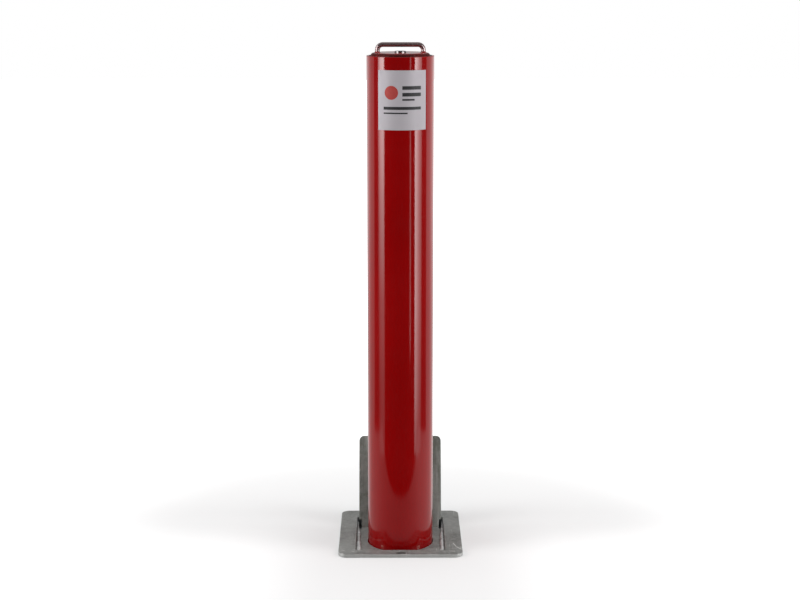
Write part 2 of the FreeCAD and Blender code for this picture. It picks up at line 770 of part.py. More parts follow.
def make_lock_bolt():
    """All that turns with the key: plug, coupling, rod and the cross head that passes or catches the keeper."""
    plug = new_body("lock_plug")
    barrel = new_sketch(plug, "plug_barrel", lift=-size.lock_body_length)
    face = size.lock_ring_rise - size.lock_plug_sink
    draw_circle(barrel, size.lock_plug_diameter / 2)
    pad(plug, barrel, size.lock_body_length + face)
    tail = new_sketch(plug, "plug_tail", lift=-(size.lock_body_length + size.lock_tail))
    draw_square(tail, size.lock_tail_width)
    pad(plug, tail, size.lock_tail)
    slot = new_sketch(plug, "key_slot", lift=face - size.key_slot_depth)
    half_width = size.key_slot_width / 2
    half_length = size.key_slot_length / 2
    draw_rectangle(slot, -half_width, half_width, -half_length, half_length)
    pocket(plug, slot, size.key_slot_depth * 2, reverse=True, middle=False)
    place(plug, z=cap_face)

    coupling = new_body("rod_coupling")
    block = new_sketch(coupling, "coupling_block")
    draw_square(block, size.coupling_width)
    pad(coupling, block, size.coupling_length)
    half = size.coupling_length / 2
    socket = new_sketch(coupling, "coupling_socket", lift=half)
    draw_square(socket, size.lock_tail_width + size.seat_slip * 2)
    pocket(coupling, socket, half, reverse=True, middle=False)
    bore = new_sketch(coupling, "coupling_bore")
    draw_circle(bore, rod_radius + size.seat_slip)
    pocket(coupling, bore, half, reverse=True, middle=False)
    place(coupling, z=coupling_bottom)

    rod = new_body("lock_rod")
    section = new_sketch(rod, "rod_section")
    draw_circle(section, rod_radius)
    pad(rod, section, coupling_bottom + half - size.seat_slip - rod_bottom)
    place(rod, z=rod_bottom)

    head = new_body("cross_head")
    outline = new_sketch(head, "head_outline")
    half_length = size.head_length / 2
    half_width = size.head_width / 2
    draw_rectangle(outline, -half_length, half_length, -half_width, half_width)
    draw_circle(outline, rod_radius + size.seat_slip)
    pad(head, outline, size.head_height)
    place(head, z=head_bottom)


def write_parts():
    """Checks every object and writes each sub-part to its own file."""
    doc.recompute()
    for thing in doc.Objects:
        if "Invalid" in thing.State or "Error" in thing.State:
            raise RuntimeError(f"{thing.Name} failed: {thing.State}")
    for part in finished:
        if part.Shape.isNull() or not part.Shape.isValid():
            raise RuntimeError(f"{part.Label} has no valid shape")
    os.makedirs(OUTPUT_FOLDER, exist_ok=True)
    for part in finished:
        part.Shape.exportStep(os.path.join(OUTPUT_FOLDER, f"{part.Label}.step"))
    print(f"{len(finished)} sub-parts written")


make_frame_plate()
make_seat_plate()
make_recess_welds()
make_socket()
make_anchor_bars()
make_lid_trough()
make_hinge_arms()
make_hinge_pin()
make_lid()
make_post()
make_cap()
make_handle()
make_lock()
make_lock_bolt()
write_parts()
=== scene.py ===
"""Dresses the lift-out bollard: painted post, bow handle, key lock, ground socket with its recess and open lid.

Metres, +Z up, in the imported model's own frame: the post's axis at ground level is the origin, -Y is the front.
"""

import logging
import math
from abc import ABC, abstractmethod
from collections.abc import Callable, Iterator
from contextlib import contextmanager
from dataclasses import dataclass
from enum import Enum
from functools import reduce

import bmesh
import bpy
from mathutils import Matrix, Vector


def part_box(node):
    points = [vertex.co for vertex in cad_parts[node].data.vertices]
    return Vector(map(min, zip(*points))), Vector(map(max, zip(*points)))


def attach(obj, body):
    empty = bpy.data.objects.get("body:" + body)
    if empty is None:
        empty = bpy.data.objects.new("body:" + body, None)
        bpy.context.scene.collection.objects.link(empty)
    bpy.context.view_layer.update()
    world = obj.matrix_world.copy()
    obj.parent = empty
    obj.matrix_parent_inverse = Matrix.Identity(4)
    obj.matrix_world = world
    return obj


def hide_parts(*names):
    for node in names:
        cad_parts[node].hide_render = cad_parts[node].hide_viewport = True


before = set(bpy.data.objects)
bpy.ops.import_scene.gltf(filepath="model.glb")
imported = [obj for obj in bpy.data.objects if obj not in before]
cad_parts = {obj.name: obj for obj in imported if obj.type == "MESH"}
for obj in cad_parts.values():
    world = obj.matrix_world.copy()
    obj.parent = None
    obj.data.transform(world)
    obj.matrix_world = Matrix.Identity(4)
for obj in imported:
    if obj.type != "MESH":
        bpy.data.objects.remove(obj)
log = logging.getLogger("bollard")

MM = 0.001
QUARTER = math.pi / 2
PLUG_SLIP = 0.1 * MM
NODE_POINTS = 0.002 * MM
MADE_POINTS = 0.005 * MM
FLAT = math.radians(0.4)
ORIGIN = (0.0, 0.0, 0.0)
BACK = (0.0, 1.0, 0.0)
UP = (0.0, 0.0, 1.0)
BLACK = (0.0, 0.0, 0.0)
WHITE = (1.0, 1.0, 1.0)
Colour = tuple[float, float, float]
Place = tuple[float, float, float]
Span = tuple[float, float]
Ramp = tuple[float, float, float, float]
Profile = tuple[Span, ...]


class Body(Enum):
    """The moving bodies that a piece can ride on."""

    GROUND = "ground_socket"
    LID = "lid"
    POST = "post"
    BOLT = "lock_bolt"


class Slot(Enum):
    """The record's material slots."""

    PLATE = "plate_steel"
    WELD = "weld_metal"
    GALVANISED = "galvanised_steel"
    LID = "lid_steel"
    BRIGHT = "bright_steel"
    RED = "red_paint"
    LOCK = "lock_chrome"
    LABEL = "label_film"


class Pick(Enum):
    """What can be picked in a mesh."""

    EDGE = "EDGE"
    FACE = "FACE"


def only(piece: bpy.types.Object) -> None:
    """Selects one object and nothing else.

    Args:
        piece: the object.
    """
    bpy.ops.object.select_all(action="DESELECT")
    piece.select_set(True)
    bpy.context.view_layer.objects.active = piece


def settle(piece: bpy.types.Object) -> None:
    """Moves a piece's place and turn into its mesh."""
    only(piece)
    bpy.ops.object.transform_apply(location=True, rotation=True, scale=True)


@contextmanager
def editing(piece: bpy.types.Object) -> Iterator[None]:
    """Keeps one piece alone in edit mode, with all of it selected at first.

    Args:
        piece: the mesh object to edit.
    """
    only(piece)
    bpy.ops.object.mode_set(mode="EDIT")
    bpy.ops.mesh.select_all(action="SELECT")
    try:
        yield
    finally:
        bpy.ops.object.mode_set(mode="OBJECT")


def extrude(x: float, y: float, z: float) -> None:
    """Draws out what is selected, by a move."""
    bpy.ops.mesh.extrude_region_move(TRANSFORM_OT_translate={"value": (x, y, z)})


def pick(piece: bpy.types.Object, kind: Pick, wanted: Callable[[Vector], bool]) -> None:
    """Selects only the edges or faces whose middle passes a test, in edit mode.

    Args:
        piece: the mesh object in edit mode.
        kind: what is picked.
        wanted: takes an edge's or face's middle.
    """
    bpy.ops.mesh.select_mode(type=kind.value)
    bpy.ops.mesh.select_all(action="DESELECT")
    mesh = bmesh.from_edit_mesh(piece.data)
    for part in mesh.edges if kind is Pick.EDGE else mesh.faces:
        part.select_set(wanted(sum((corner.co for corner in part.verts), Vector()) / len(part.verts)))
    bmesh.update_edit_mesh(piece.data)


def claim(name: str) -> bpy.types.Object:
    """Names the primitive that was just added and settles it.

    Args:
        name: the new piece's name.

    Returns:
        The new piece.
    """
    piece = bpy.context.object
    piece.name = piece.data.name = name
    settle(piece)
    return piece


def modify(piece: bpy.types.Object, kind: str, **settings: object) -> None:
    """Adds a modifier, sets it and applies it.

    Args:
        piece: the mesh object.
        kind: the modifier's type.
        settings: its values by name.
    """
    only(piece)
    modifier = piece.modifiers.new(kind.lower(), kind)
    for name, value in settings.items():
        setattr(modifier, name, value)
    bpy.ops.object.modifier_apply(modifier=modifier.name)


def break_edges(piece: bpy.types.Object, width: float, segments: int = 2, sharper_than: float = 40.0) -> None:
    """Rounds the edges of a piece that turn by more than an angle in degrees."""
    modify(piece, "BEVEL", width=width, segments=segments, limit_method="ANGLE",
           angle_limit=math.radians(sharper_than), harden_normals=False, use_clamp_overlap=True)


def smooth(piece: bpy.types.Object, angle: float = 35.0) -> None:
    """Shades a piece smoothly, apart from edges sharper than an angle, with its wide faces kept flat.

    Args:
        piece: the mesh object.
        angle: the angle in degrees.
    """
    only(piece)
    bpy.ops.object.shade_smooth_by_angle(angle=math.radians(angle))
    modify(piece, "WEIGHTED_NORMAL", keep_sharp=True, weight=50)


def face_outwards(piece: bpy.types.Object) -> None:
    """Merges doubled points and turns all faces outwards.

    Args:
        piece: the mesh object.
    """
    with editing(piece):
        bpy.ops.mesh.remove_doubles(threshold=MADE_POINTS)
        bpy.ops.mesh.normals_make_consistent(inside=False)


def turned(name: str, profile: Profile, sides: int, centre: Place = ORIGIN) -> bpy.types.Object:
    """Turns a closed form about an upright axis, extruding and resizing one disc from place to place.

    Args:
        name: the new piece's name.
        profile: radius and height of each step, from the first disc to the last.
        sides: how many sides the circle has.
        centre: a point on the axis, from which the heights count.

    Returns:
        The new piece.
    """
    x, y, level = centre
    radius, height = profile[0]
    bpy.ops.mesh.primitive_circle_add(vertices=sides, radius=radius, fill_type="NGON", location=(x, y, level + height))
    piece = claim(name)
    with editing(piece):
        for next_radius, next_height in profile[1:]:
            extrude(0.0, 0.0, next_height - height)
            scale = next_radius / radius
            bpy.ops.transform.resize(value=(scale, scale, 1.0), center_override=(x, y, level + next_height))
            radius, height = next_radius, next_height
    face_outwards(piece)
    return piece


def pipe(name: str, node: str, plug: str, sides: int, rim: float, segments: int) -> bpy.types.Object:
    """Makes an open tube as large as a node, with rounded rims and a bore for a plug.

    Args:
        name: the new piece's name.
        node: the frame's node.
        plug: the node that fits the bore.
        sides: how many sides the circle has.
        rim: the width of the rims' rounding.
        segments: how many strips the rounding has.

    Returns:
        The new piece.
    """
    low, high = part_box(node)
    bpy.ops.mesh.primitive_cylinder_add(vertices=sides, radius=high.x, depth=high.z - low.z, end_fill_type="NOTHING",
                                        location=(0.0, 0.0, (high.z + low.z) / 2))
    piece = claim(name)
    modify(piece, "SOLIDIFY", thickness=high.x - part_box(plug)[1].x - PLUG_SLIP, offset=-1.0)
    break_edges(piece, rim, segments, 60.0)
    smooth(piece)
    return piece


def joined(name: str, pieces: list[bpy.types.Object]) -> bpy.types.Object:
    """Joins like pieces into one object.

    Args:
        name: the joined piece's name.
        pieces: the mesh objects.

    Returns:
        The joined piece.
    """
    only(pieces[0])
    for piece in pieces:
        piece.select_set(True)
    bpy.ops.object.join()
    pieces[0].name = pieces[0].data.name = name
    return pieces[0]


def fit(piece: bpy.types.Object, body: Body, slot: Slot, finish: bpy.types.Material, *nodes: str) -> None:
    """Dresses a finished piece and puts it on its body.

    Args:
        piece: the finished piece.
        body: the body that it rides on.
        slot: not used.
        finish: its material.
        nodes: the frame's nodes that it stands for.
    """
    piece.data.materials.clear()
    piece.data.materials.append(finish)
    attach(piece, body.value)
    if nodes:
        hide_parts(*nodes)
    log.info("%s: %d faces on %s", piece.name, len(piece.data.polygons), body.value)


def fit_softened(node: str, name: str, body: Body, slot: Slot, finish: bpy.types.Material, width: float,
                 segments: int = 2) -> None:
    """Copies a node as one closed mesh with flat faces, rounds its edges and fits it in the node's place.

    Args:
        node: the frame's node.
        name: the new piece's name.
        body: the body that it rides on.
        slot: the record's slot for its finish.
        finish: its material.
        width: the width of the rounding in millimetres.
        segments: how many strips the rounding has.
    """
    piece = bpy.data.objects.new(name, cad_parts[node].data.copy())
    piece.data.name = name
    bpy.context.scene.collection.objects.link(piece)
    with editing(piece):
        bpy.ops.mesh.remove_doubles(threshold=NODE_POINTS)
        bpy.ops.mesh.dissolve_limited(angle_limit=FLAT)
        bpy.ops.mesh.customdata_custom_splitnormals_clear()
    break_edges(piece, width * MM, segments)
    smooth(piece)
    fit(piece, body, slot, finish, node)


class Wire:
    """A value on its way through the nodes of a layout, which adds a node for each sum done with it."""

    def __init__(self, layout: "Shading", socket: bpy.types.NodeSocket) -> None:
        """Keeps the layout that the value is in and its socket."""
        self.layout = layout
        self.socket = socket

    def __add__(self, other: "Amount") -> "Wire":
        """Adds another value."""
        return self.layout.sum("ADD", self, other)

    def __sub__(self, other: "Amount") -> "Wire":
        """Takes another value away."""
        return self.layout.sum("SUBTRACT", self, other)

    def __mul__(self, other: "Amount") -> "Wire":
        """Multiplies by another value."""
        return self.layout.sum("MULTIPLY", self, other)

    def __truediv__(self, other: "Amount") -> "Wire":
        """Divides by another value."""
        return self.layout.sum("DIVIDE", self, other)

    def __pow__(self, power: float) -> "Wire":
        """Raises it to a power."""
        return self.layout.sum("POWER", self, power)

    def __abs__(self) -> "Wire":
        """Drops its sign."""
        return self.layout.sum("ABSOLUTE", self)

    def most(self, other: "Amount") -> "Wire":
        """Gives the greater of two values."""
        return self.layout.sum("MAXIMUM", self, other)

    def between(self, low: float, high: float) -> "Wire":
        """Gives 1 where it lies between two limits, and elsewhere 0."""
        return self.layout.sum("GREATER_THAN", self, low) * self.layout.sum("LESS_THAN", self, high)

    def ramp(self, low: float, high: float, to_low: float = 0.0, to_high: float = 1.0,
             ends: str = "SMOOTHSTEP") -> "Wire":
        """Spreads the range from low to high over another range, with soft ends, and stays level beyond it."""
        values = dict(enumerate((self, low, high, to_low, to_high)))
        return self.layout.wire("ShaderNodeMapRange", values, interpolation_type=ends)

    def line(self, low: float, high: float, to_low: float, to_high: float) -> "Wire":
        """Spreads a range over another in a straight line."""
        return self.ramp(low, high, to_low, to_high, "LINEAR")


Amount = Wire | float
Paint = Wire | Colour
Inputs = dict[str | int, object]


class Shading:
    """Lays out the nodes of one material, lamp, world or shared group."""

    def __init__(self, tree: bpy.types.NodeTree) -> None:
        """Starts with an existing tree, before its coordinate is known."""
        self.tree = tree
        self.where: Wire | None = None

    def feed(self, socket: bpy.types.NodeSocket, value: object) -> None:
        """Sets an input, or links it to a wire.

        Args:
            socket: the input.
            value: a wire, a colour or any plain value.
        """
        if isinstance(value, Wire):
            self.tree.links.new(value.socket, socket)
        elif isinstance(value, tuple) and len(value) == 3 and socket.type == "RGBA":
            socket.default_value = (*value, 1.0)
        else:
            socket.default_value = value

    def feed_all(self, node: bpy.types.Node, inputs: Inputs) -> None:
        """Sets or links a node's inputs, by number or by name with _ for a space."""
        for key, value in inputs.items():
            self.feed(node.inputs[key.replace("_", " ") if isinstance(key, str) else key], value)

    def node(self, kind: str, inputs: Inputs | None = None, **settings: object) -> bpy.types.Node:
        """Adds a node, with its settings and its inputs set or linked.

        Args:
            kind: the node's type.
            inputs: values or wires.
            settings: the node's own settings.

        Returns:
            The new node.
        """
        node = self.tree.nodes.new(kind)
        for name, value in settings.items():
            setattr(node, name, value)
        self.feed_all(node, inputs or {})
        return node

    def wire(self, kind: str, inputs: Inputs | None = None, output: str | int = 0, **settings: object) -> Wire:
        """Adds a node and gives one of its outputs."""
        return Wire(self, self.node(kind, inputs, **settings).outputs[output])

    def wires(self, kind: str, inputs: Inputs | None = None, **settings: object) -> dict[str, Wire]:
        """Adds a node and gives all its outputs by name."""
        return {socket.name: Wire(self, socket) for socket in self.node(kind, inputs, **settings).outputs}

    def sum(self, operation: str, *values: Amount) -> Wire:
        """Works out one number from its values in order."""
        return self.wire("ShaderNodeMath", dict(enumerate(values)), operation=operation)

    def xyz(self, vector: Wire) -> list[Wire]:
        """Splits a vector into its three numbers."""
        return list(self.wires("ShaderNodeSeparateXYZ", {0: vector}).values())

    def blend(self, factor: Amount, first: Paint, second: Paint) -> Wire:
        """Mixes two colours, of which the factor is how much of the second shows."""
        return self.wire("ShaderNodeMix", {0: factor, 6: first, 7: second}, 2, data_type="RGBA")

    def noise(self, scale: Amount, detail: float = 4.0, roughness: float = 0.55, where: Wire | None = None) -> Wire:
        """Gives noise between about 0 and 1, so many cells to the metre, with finer layers and their strength."""
        values = {"Vector": where or self.where, "Scale": scale, "Detail": detail, "Roughness": roughness}
        return self.wire("ShaderNodeTexNoise", values, "Fac")

    def drawn(self, scale: Place, turn: float = 0.0, detail: float = 4.0, roughness: float = 0.55) -> Wire:
        """Gives noise that is stretched by a scale on each axis and turned about Z by radians."""
        values = {"Vector": self.where, "Scale": scale, "Rotation": (0.0, 0.0, turn)}
        return self.noise(1.0, detail, roughness, self.wire("ShaderNodeMapping", values))


class Group(Shading):
    """A node group that takes a coordinate and numbers, and puts out masks."""

    def __init__(self, name: str, **numbers: float) -> None:
        """Starts a group.

        Args:
            name: the group's name.
            numbers: the first values of its number inputs, by name with _ for a space.
        """
        super().__init__(bpy.data.node_groups.new(name, "ShaderNodeTree"))
        self._open("Vector", "INPUT", "NodeSocketVector")
        for label, value in numbers.items():
            self._open(label, "INPUT", "NodeSocketFloat").default_value = value
        self.given = self.wires("NodeGroupInput")
        self.where = self.given["Vector"]

    def _open(self, label: str, side: str, kind: str) -> bpy.types.NodeTreeInterfaceSocket:
        """Adds a socket to the group's outside."""
        return self.tree.interface.new_socket(label.replace("_", " "), in_out=side, socket_type=kind)

    def give(self, **masks: Wire) -> bpy.types.NodeTree:
        """Puts out masks.

        Args:
            masks: the masks by name.

        Returns:
            The finished group.
        """
        for label in masks:
            self._open(label, "OUTPUT", "NodeSocketFloat")
        self.node("NodeGroupOutput", masks)
        return self.tree


class SharedEffects:
    """The node groups that more than one finish uses."""

    def __init__(self) -> None:
        """Builds each group once."""
        self.edge_wear = self._edge_wear()
        self.stains = self._stains()
        self.scratches = self._scratches()

    @staticmethod
    def _edge_wear() -> bpy.types.NodeTree:
        """Marks rubbed edges, broken up by noise.

        Returns:
            The group.
        """
        made = Group("edge_wear", Width=0.001, Amount=1.0, Patch_Scale=60.0)
        softened = made.wire("ShaderNodeBevel", {"Radius": made.given["Width"]}, samples=4)
        flat = made.wire("ShaderNodeNewGeometry", output="Normal")
        same = made.wire("ShaderNodeVectorMath", {0: softened, 1: flat}, "Value", operation="DOT_PRODUCT")
        broken = made.noise(made.given["Patch Scale"], 5.0, 0.5).ramp(0.38, 0.62)
        mask = same.ramp(0.995, 0.86) * broken * made.given["Amount"]
        return made.give(Mask=made.sum("MINIMUM", mask, 1.0))

    @staticmethod
    def _stains() -> bpy.types.NodeTree:
        """Gives broad blotches, fine mottling and small specks.

        Returns:
            The group.
        """
        made = Group("steel_stains", Scale=12.0)
        scale = made.given["Scale"]
        warp = made.wire("ShaderNodeTexNoise", {"Vector": made.where, "Scale": 9.0, "Detail": 3.0}, "Color")
        moved = made.wire("ShaderNodeVectorMath", {0: warp, 1: (0.03, 0.03, 0.03), 2: made.where},
                          operation="MULTIPLY_ADD")
        dots = {"Vector": made.where, "Scale": 260.0, "Randomness": 1.0}
        near = made.wire("ShaderNodeTexVoronoi", dots, "Distance").ramp(0.22, 0.08)
        return made.give(Blotches=made.noise(scale, 6.0, 0.62, moved).ramp(0.36, 0.68),
                         Mottle=made.noise(scale * 9.0, 8.0, 0.7, moved).ramp(0.3, 0.7),
                         Specks=near * made.noise(70.0, 2.0).ramp(0.56, 0.66))

    @staticmethod
    def _scratches() -> bpy.types.NodeTree:
        """Marks long thin scratches in three directions, which come in patches.

        Returns:
            The group.
        """
        made = Group("scratches", Density=1.0)
        marks = [made.drawn((900.0, 14.0, 14.0), turn, 1.0, 0.4).ramp(0.70, 0.76)
                 * made.noise(patch, 1.0).ramp(0.5, 0.62)
                 for turn, patch in ((0.5, 21.0), (-0.9, 33.0), (2.2, 27.0))]
        return made.give(Mask=reduce(Wire.most, marks) * made.given["Density"])


class Material(Shading):
    """One Principled material with its nodes."""

    def __init__(self, name: str, shared: SharedEffects | None = None) -> None:
        """Starts a material.

        Args:
            name: its name.
            shared: the shared effects that it may use.
        """
        self.made = bpy.data.materials.new(name)
        self.made.use_nodes = True
        super().__init__(self.made.node_tree)
        self.shared = shared
        self.where = self.wire("ShaderNodeTexCoord", output="Object")

    def set(self, **inputs: object) -> None:
        """Sets or links the shader's inputs, by name with _ for a space."""
        self.feed_all(self.tree.nodes["Principled BSDF"], inputs)

    def _use(self, group: bpy.types.NodeTree, **inputs: float) -> dict[str, Wire]:
        """Places a shared group at this material's coordinates and gives its masks."""
        return self.wires("ShaderNodeGroup", {"Vector": self.where, **inputs}, node_tree=group)

    def stains(self, scale: float) -> tuple[Wire, Wire, Wire]:
        """Gives the masks of blotches, mottling and specks."""
        return tuple(self._use(self.shared.stains, Scale=scale).values())

    def scratches(self, density: float) -> Wire:
        """Gives the mask of thin scratches."""
        return self._use(self.shared.scratches, Density=density)["Mask"]

    def wear(self, width: float, amount: float, patch: float) -> Wire:
        """Gives the mask of rubbed edges, in patches so many to the metre."""
        return self._use(self.shared.edge_wear, Width=width, Amount=amount, Patch_Scale=patch)["Mask"]

    def bump(self, height: Wire, depth: float, strength: float) -> None:
        """Raises the surface's normal by a height whose 1 is worth a depth in metres."""
        self.set(Normal=self.wire("ShaderNodeBump", {"Height": height, "Distance": depth, "Strength": strength}))


class Finish(ABC):
    """How one material looks, in plain values."""

    @abstractmethod
    def dress(self, made: Material) -> None:
        """Lays out the material's nodes."""

    def build(self, shared: SharedEffects, name: str) -> bpy.types.Material:
        """Builds the material.

        Args:
            shared: the shared effects.
            name: the material's name.

        Returns:
            The material.
        """
        made = Material(name, shared)
        self.dress(made)
        return made.made


@dataclass(frozen=True)
class RedCoat(Finish):
    """Thick glossy red coating with orange peel and rubbed edges, and if asked flakes at the foot with two painted
    highlights, or painted shade in the groove.
    """

    colour: Colour = (0.225, 0.0003, 0.0006)
    bright: Colour = (0.25, 0.0005, 0.0009)
    # the undercoat colour that flakes show, also used for the painted highlights at the foot
    primer_and_highlight: Colour = (0.40, 0.16, 0.13)
    rubbed: Colour = (0.36, 0.06, 0.055)
    # the colour of the painted shade in the cap's groove
    painted_groove_shade: Colour = (0.062, 0.006, 0.005)
    rub_width: float = 1.2 * MM
    rub_share: float = 0.75
    gloss: Span = (0.075, 0.12)
    scratch_dull: float = 0.22
    peel_depth: float = 0.01 * MM
    flakes_and_foot_highlights: bool = False
    flake_and_highlight_line: float = 3.5 * MM
    chip_reach: float = 10.0 * MM
    flake_and_highlight_dull: float = 0.6
    # where the painted highlights at the foot lie: their angle from the front, half width and height reach
    highlight_angle: float = 0.59
    highlight_half_width: Span = (0.055, 0.03)
    highlight_reach: Span = (4.5 * MM, 2.5 * MM)
    groove: Span | None = None
    groove_fade: Span = (0.3 * MM, 0.5 * MM)
    groove_dull: float = 0.35

    def dress(self, made: Material) -> None:
        """Lays out the coating, with flakes and painted highlights at ground level, or painted shade between the
        groove's heights.

        Args:
            made: the material.
        """
        tone = made.noise(5.0, 3.0).ramp(0.35, 0.65)
        colour = made.blend(tone, self.colour, self.bright)
        colour = made.blend(made.wear(self.rub_width, self.rub_share, 90.0), colour, self.rubbed)
        rough = made.noise(22.0, 4.0).ramp(0.35, 0.75, *self.gloss) + made.scratches(0.5) * self.scratch_dull
        if self.flakes_and_foot_highlights:
            # flakes show the undercoat, and the painted highlights at the foot take the same pale colour
            flakes_and_highlights = self._flakes_and_foot_highlights(made)
            colour = made.blend(flakes_and_highlights, colour, self.primer_and_highlight)
            rough = rough.most(flakes_and_highlights * self.flake_and_highlight_dull)
        if self.groove:
            (low, high), (below, above) = self.groove, self.groove_fade
            height = made.xyz(made.where)[2]
            # painted shade: the groove's band is darkened and its gloss lowered, standing in for the shade in the gap
            groove_shade_mask = (height.ramp(high, high - above) * height.ramp(low - below, low)
                    * made.noise(60.0, 3.0).ramp(0.25, 0.6, 0.75, 1.0))
            colour = made.blend(groove_shade_mask, colour, self.painted_groove_shade)
            rough = rough + groove_shade_mask * self.groove_dull
            made.set(Specular_IOR_Level=groove_shade_mask.ramp(0.0, 1.0, 0.5, 0.1))
        made.set(Base_Color=colour, Roughness=rough, IOR=1.5)
        made.bump(made.noise(420.0, 2.0) + made.noise(26.0, 2.0) * 3.0, self.peel_depth, 0.55)

    def _flakes_and_foot_highlights(self, made: Material) -> Wire:
        """Marks small flakes at ground level, and two painted highlights beside the front: pale patches that stand in
        for the side lamps' reflection at the foot.

        Args:
            made: the material.

        Returns:
            The mask.
        """
        x, y, height = made.xyz(made.where)
        level = abs(height - self.flake_and_highlight_line)
        grain = made.noise(95.0, 3.0, 0.5)
        flakes = level.ramp(self.chip_reach, 0.0).ramp(0.3, 0.5) * grain.ramp(0.70, 0.74)
        angle = abs(made.sum("ARCTAN2", x, y * -1.0))
        # painted highlights: two pale patches beside the front at the foot, standing in for the side lamps' reflection
        # there
        foot_highlights = (abs(angle - self.highlight_angle).ramp(*self.highlight_half_width) * level.ramp(*self.highlight_reach)
                * grain.ramp(0.38, 0.5, 0.2, 0.8))
        return flakes.most(foot_highlights)


@dataclass(frozen=True)
class FrontMarks:
    """Marks on the frame's front: rubbed corners, scratches and a smudge; and its top is darker towards the front
    edge.

    The corner is a place that both rubbed corners lie beyond, the smudge has a place and its two reaches, and the
    margin runs from a place in Y to another. A scratch, in millimetres, has a start, an end and a width.
    """

    corner: Span = (96.0 * MM, -79.0 * MM)
    corner_fade: Span = (7.0 * MM, -5.0 * MM)
    scratches: tuple[tuple[float, ...], ...] = (
        (93.0, -32.0, 98.0, -50.0, 1.1), (98.0, -50.0, 107.0, -64.0, 1.3), (84.0, -70.0, 96.0, -73.0, 1.0),
        (-104.0, -66.0, -97.0, -70.0, 0.9), (-86.0, -72.0, -80.0, -74.0, 1.0))
    smudge: tuple[float, ...] = (1.0 * MM, -81.0 * MM, 9.0 * MM, 6.5 * MM)
    smudge_depth: float = 0.45
    margin: Span = (-73.0 * MM, -81.0 * MM)

    def lay(self, made: Material, colour: Wire, light: Colour, dark: Colour) -> Wire:
        """Lays the marks over a colour.

        Args:
            made: the steel's material.
            colour: the clean colour.
            light: the colour of rubbed steel.
            dark: the colour of the smudge and of the darker front margin.

        Returns:
            The marked colour.
        """
        x, y, _ = made.xyz(made.where)
        # the top is darker towards the front edge
        colour = made.blend(y.ramp(*self.margin, 0.0, 0.3), colour, dark)
        grain = made.noise(170.0, 3.0)
        middle_x, middle_y, width, length = self.smudge
        away = ((x - middle_x) / width) ** 2.0 + ((y - middle_y) / length) ** 2.0
        smudge = away.ramp(1.6, 0.2, 0.0, 0.95) * grain.ramp(0.36, 0.6, 0.45, 1.0)
        colour = made.blend(smudge, colour, tuple(self.smudge_depth * part for part in dark))
        corners = [place.ramp(start, start + fade)
                   for place, start, fade in zip((abs(x), y), self.corner, self.corner_fade)]
        rubbed = corners[0] * corners[1] * grain.ramp(0.44, 0.56)
        scratched = [self._scratch(x, y, *(MM * part for part in scratch)) for scratch in self.scratches]
        return made.blend(reduce(Wire.most, scratched, rubbed), colour, light)

    @staticmethod
    def _scratch(x: Wire, y: Wire, from_x: float, from_y: float, to_x: float, to_y: float, width: float) -> Wire:
        """Marks one straight scratch.

        Args:
            x: where the surface is in X.
            y: where it is in Y.
            from_x: where the scratch starts in X.
            from_y: where it starts in Y.
            to_x: where it ends in X.
            to_y: where it ends in Y.
            width: how wide it is.

        Returns:
            The mask.
        """
        run = Vector((to_x - from_x, to_y - from_y))
        ahead, half = run.normalized(), run.length / 2
        off_x, off_y = x - from_x, y - from_y
        beyond = abs(off_x * ahead.x + off_y * ahead.y - half)
        aside = abs(off_x * ahead.y - off_y * ahead.x)
        return aside.ramp(width, width * 0.4) * beyond.ramp(half, half - width, 0.0, 0.9)


@dataclass(frozen=True)
class BareSteel(Finish):
    """Bare rolled plate: grey, mottled, stained, with scratches and brighter rubbed edges.

    It can have upright water streaks and marks, faces that don't face up lightened, partly as brighter cut steel and
    partly as painted light, and painted shade in reflections.
    """

    colour: Colour
    dark: Colour
    light: Colour
    stain_scale: float
    roughness: float
    metallic: float
    blotches: float = 0.75
    mottle: float = 0.30
    specks: float = 0.7
    scratch: float = 0.5
    edge: float = 0.9
    edge_width: float = 1.4 * MM
    scale_depth: float = 0.045 * MM
    streaks: float = 0.0
    streak_grain: Place = (75.0, 8.0, 5.0)
    marks: FrontMarks | None = None
    side_face_lightening: float = 0.0
    side_face_slope: Span = (0.6, 0.3)
    brightness_in_reflections: float = 1.0

    def dress(self, made: Material) -> None:
        """Lays out the steel.

        Args:
            made: the material.
        """
        blotches, mottle, specks = made.stains(self.stain_scale)
        colour = made.blend(blotches * self.blotches, self.colour, self.dark)
        colour = made.blend(mottle * self.mottle, colour, self.light)
        if self.streaks:
            run = made.drawn(self.streak_grain)
            colour = made.blend(run.ramp(0.48, 0.72) * self.streaks, colour, self.light)
            colour = made.blend(run.ramp(0.46, 0.3) * self.streaks, colour, self.dark)
        colour = made.blend(specks * self.specks, colour, self.dark)
        if self.marks:
            colour = self.marks.lay(made, colour, self.light, self.dark)
        # partly painted light: faces that don't face up, the front face among them, are lightened, besides the cut
        # edge's brighter steel
        if self.side_face_lightening:
            upwards = abs(made.xyz(made.wire("ShaderNodeNewGeometry", output="Normal"))[2])
            colour = made.blend(upwards.ramp(*self.side_face_slope, 0.0, self.side_face_lightening), colour, self.light)
        colour = made.blend(made.scratches(self.scratch), colour, self.light)
        colour = made.blend(made.wear(self.edge_width, self.edge, 45.0), colour, self.light)
        # painted shade in reflections: where gloss sees the steel, its colour is darkened to this share
        if self.brightness_in_reflections < 1.0:
            glossy = made.wire("ShaderNodeLightPath", output="Is Glossy Ray")
            colour = made.blend(glossy * (1.0 - self.brightness_in_reflections), colour, BLACK)
        rough = mottle * 0.16 + blotches.ramp(0.0, 1.0, self.roughness - 0.08, self.roughness + 0.10)
        made.set(Base_Color=colour, Roughness=rough, Metallic=self.metallic, IOR=1.5)
        scale = made.noise(900.0, 2.0) + made.noise(130.0, 3.0) * 1.6
        made.bump(scale, self.scale_depth, 0.5)


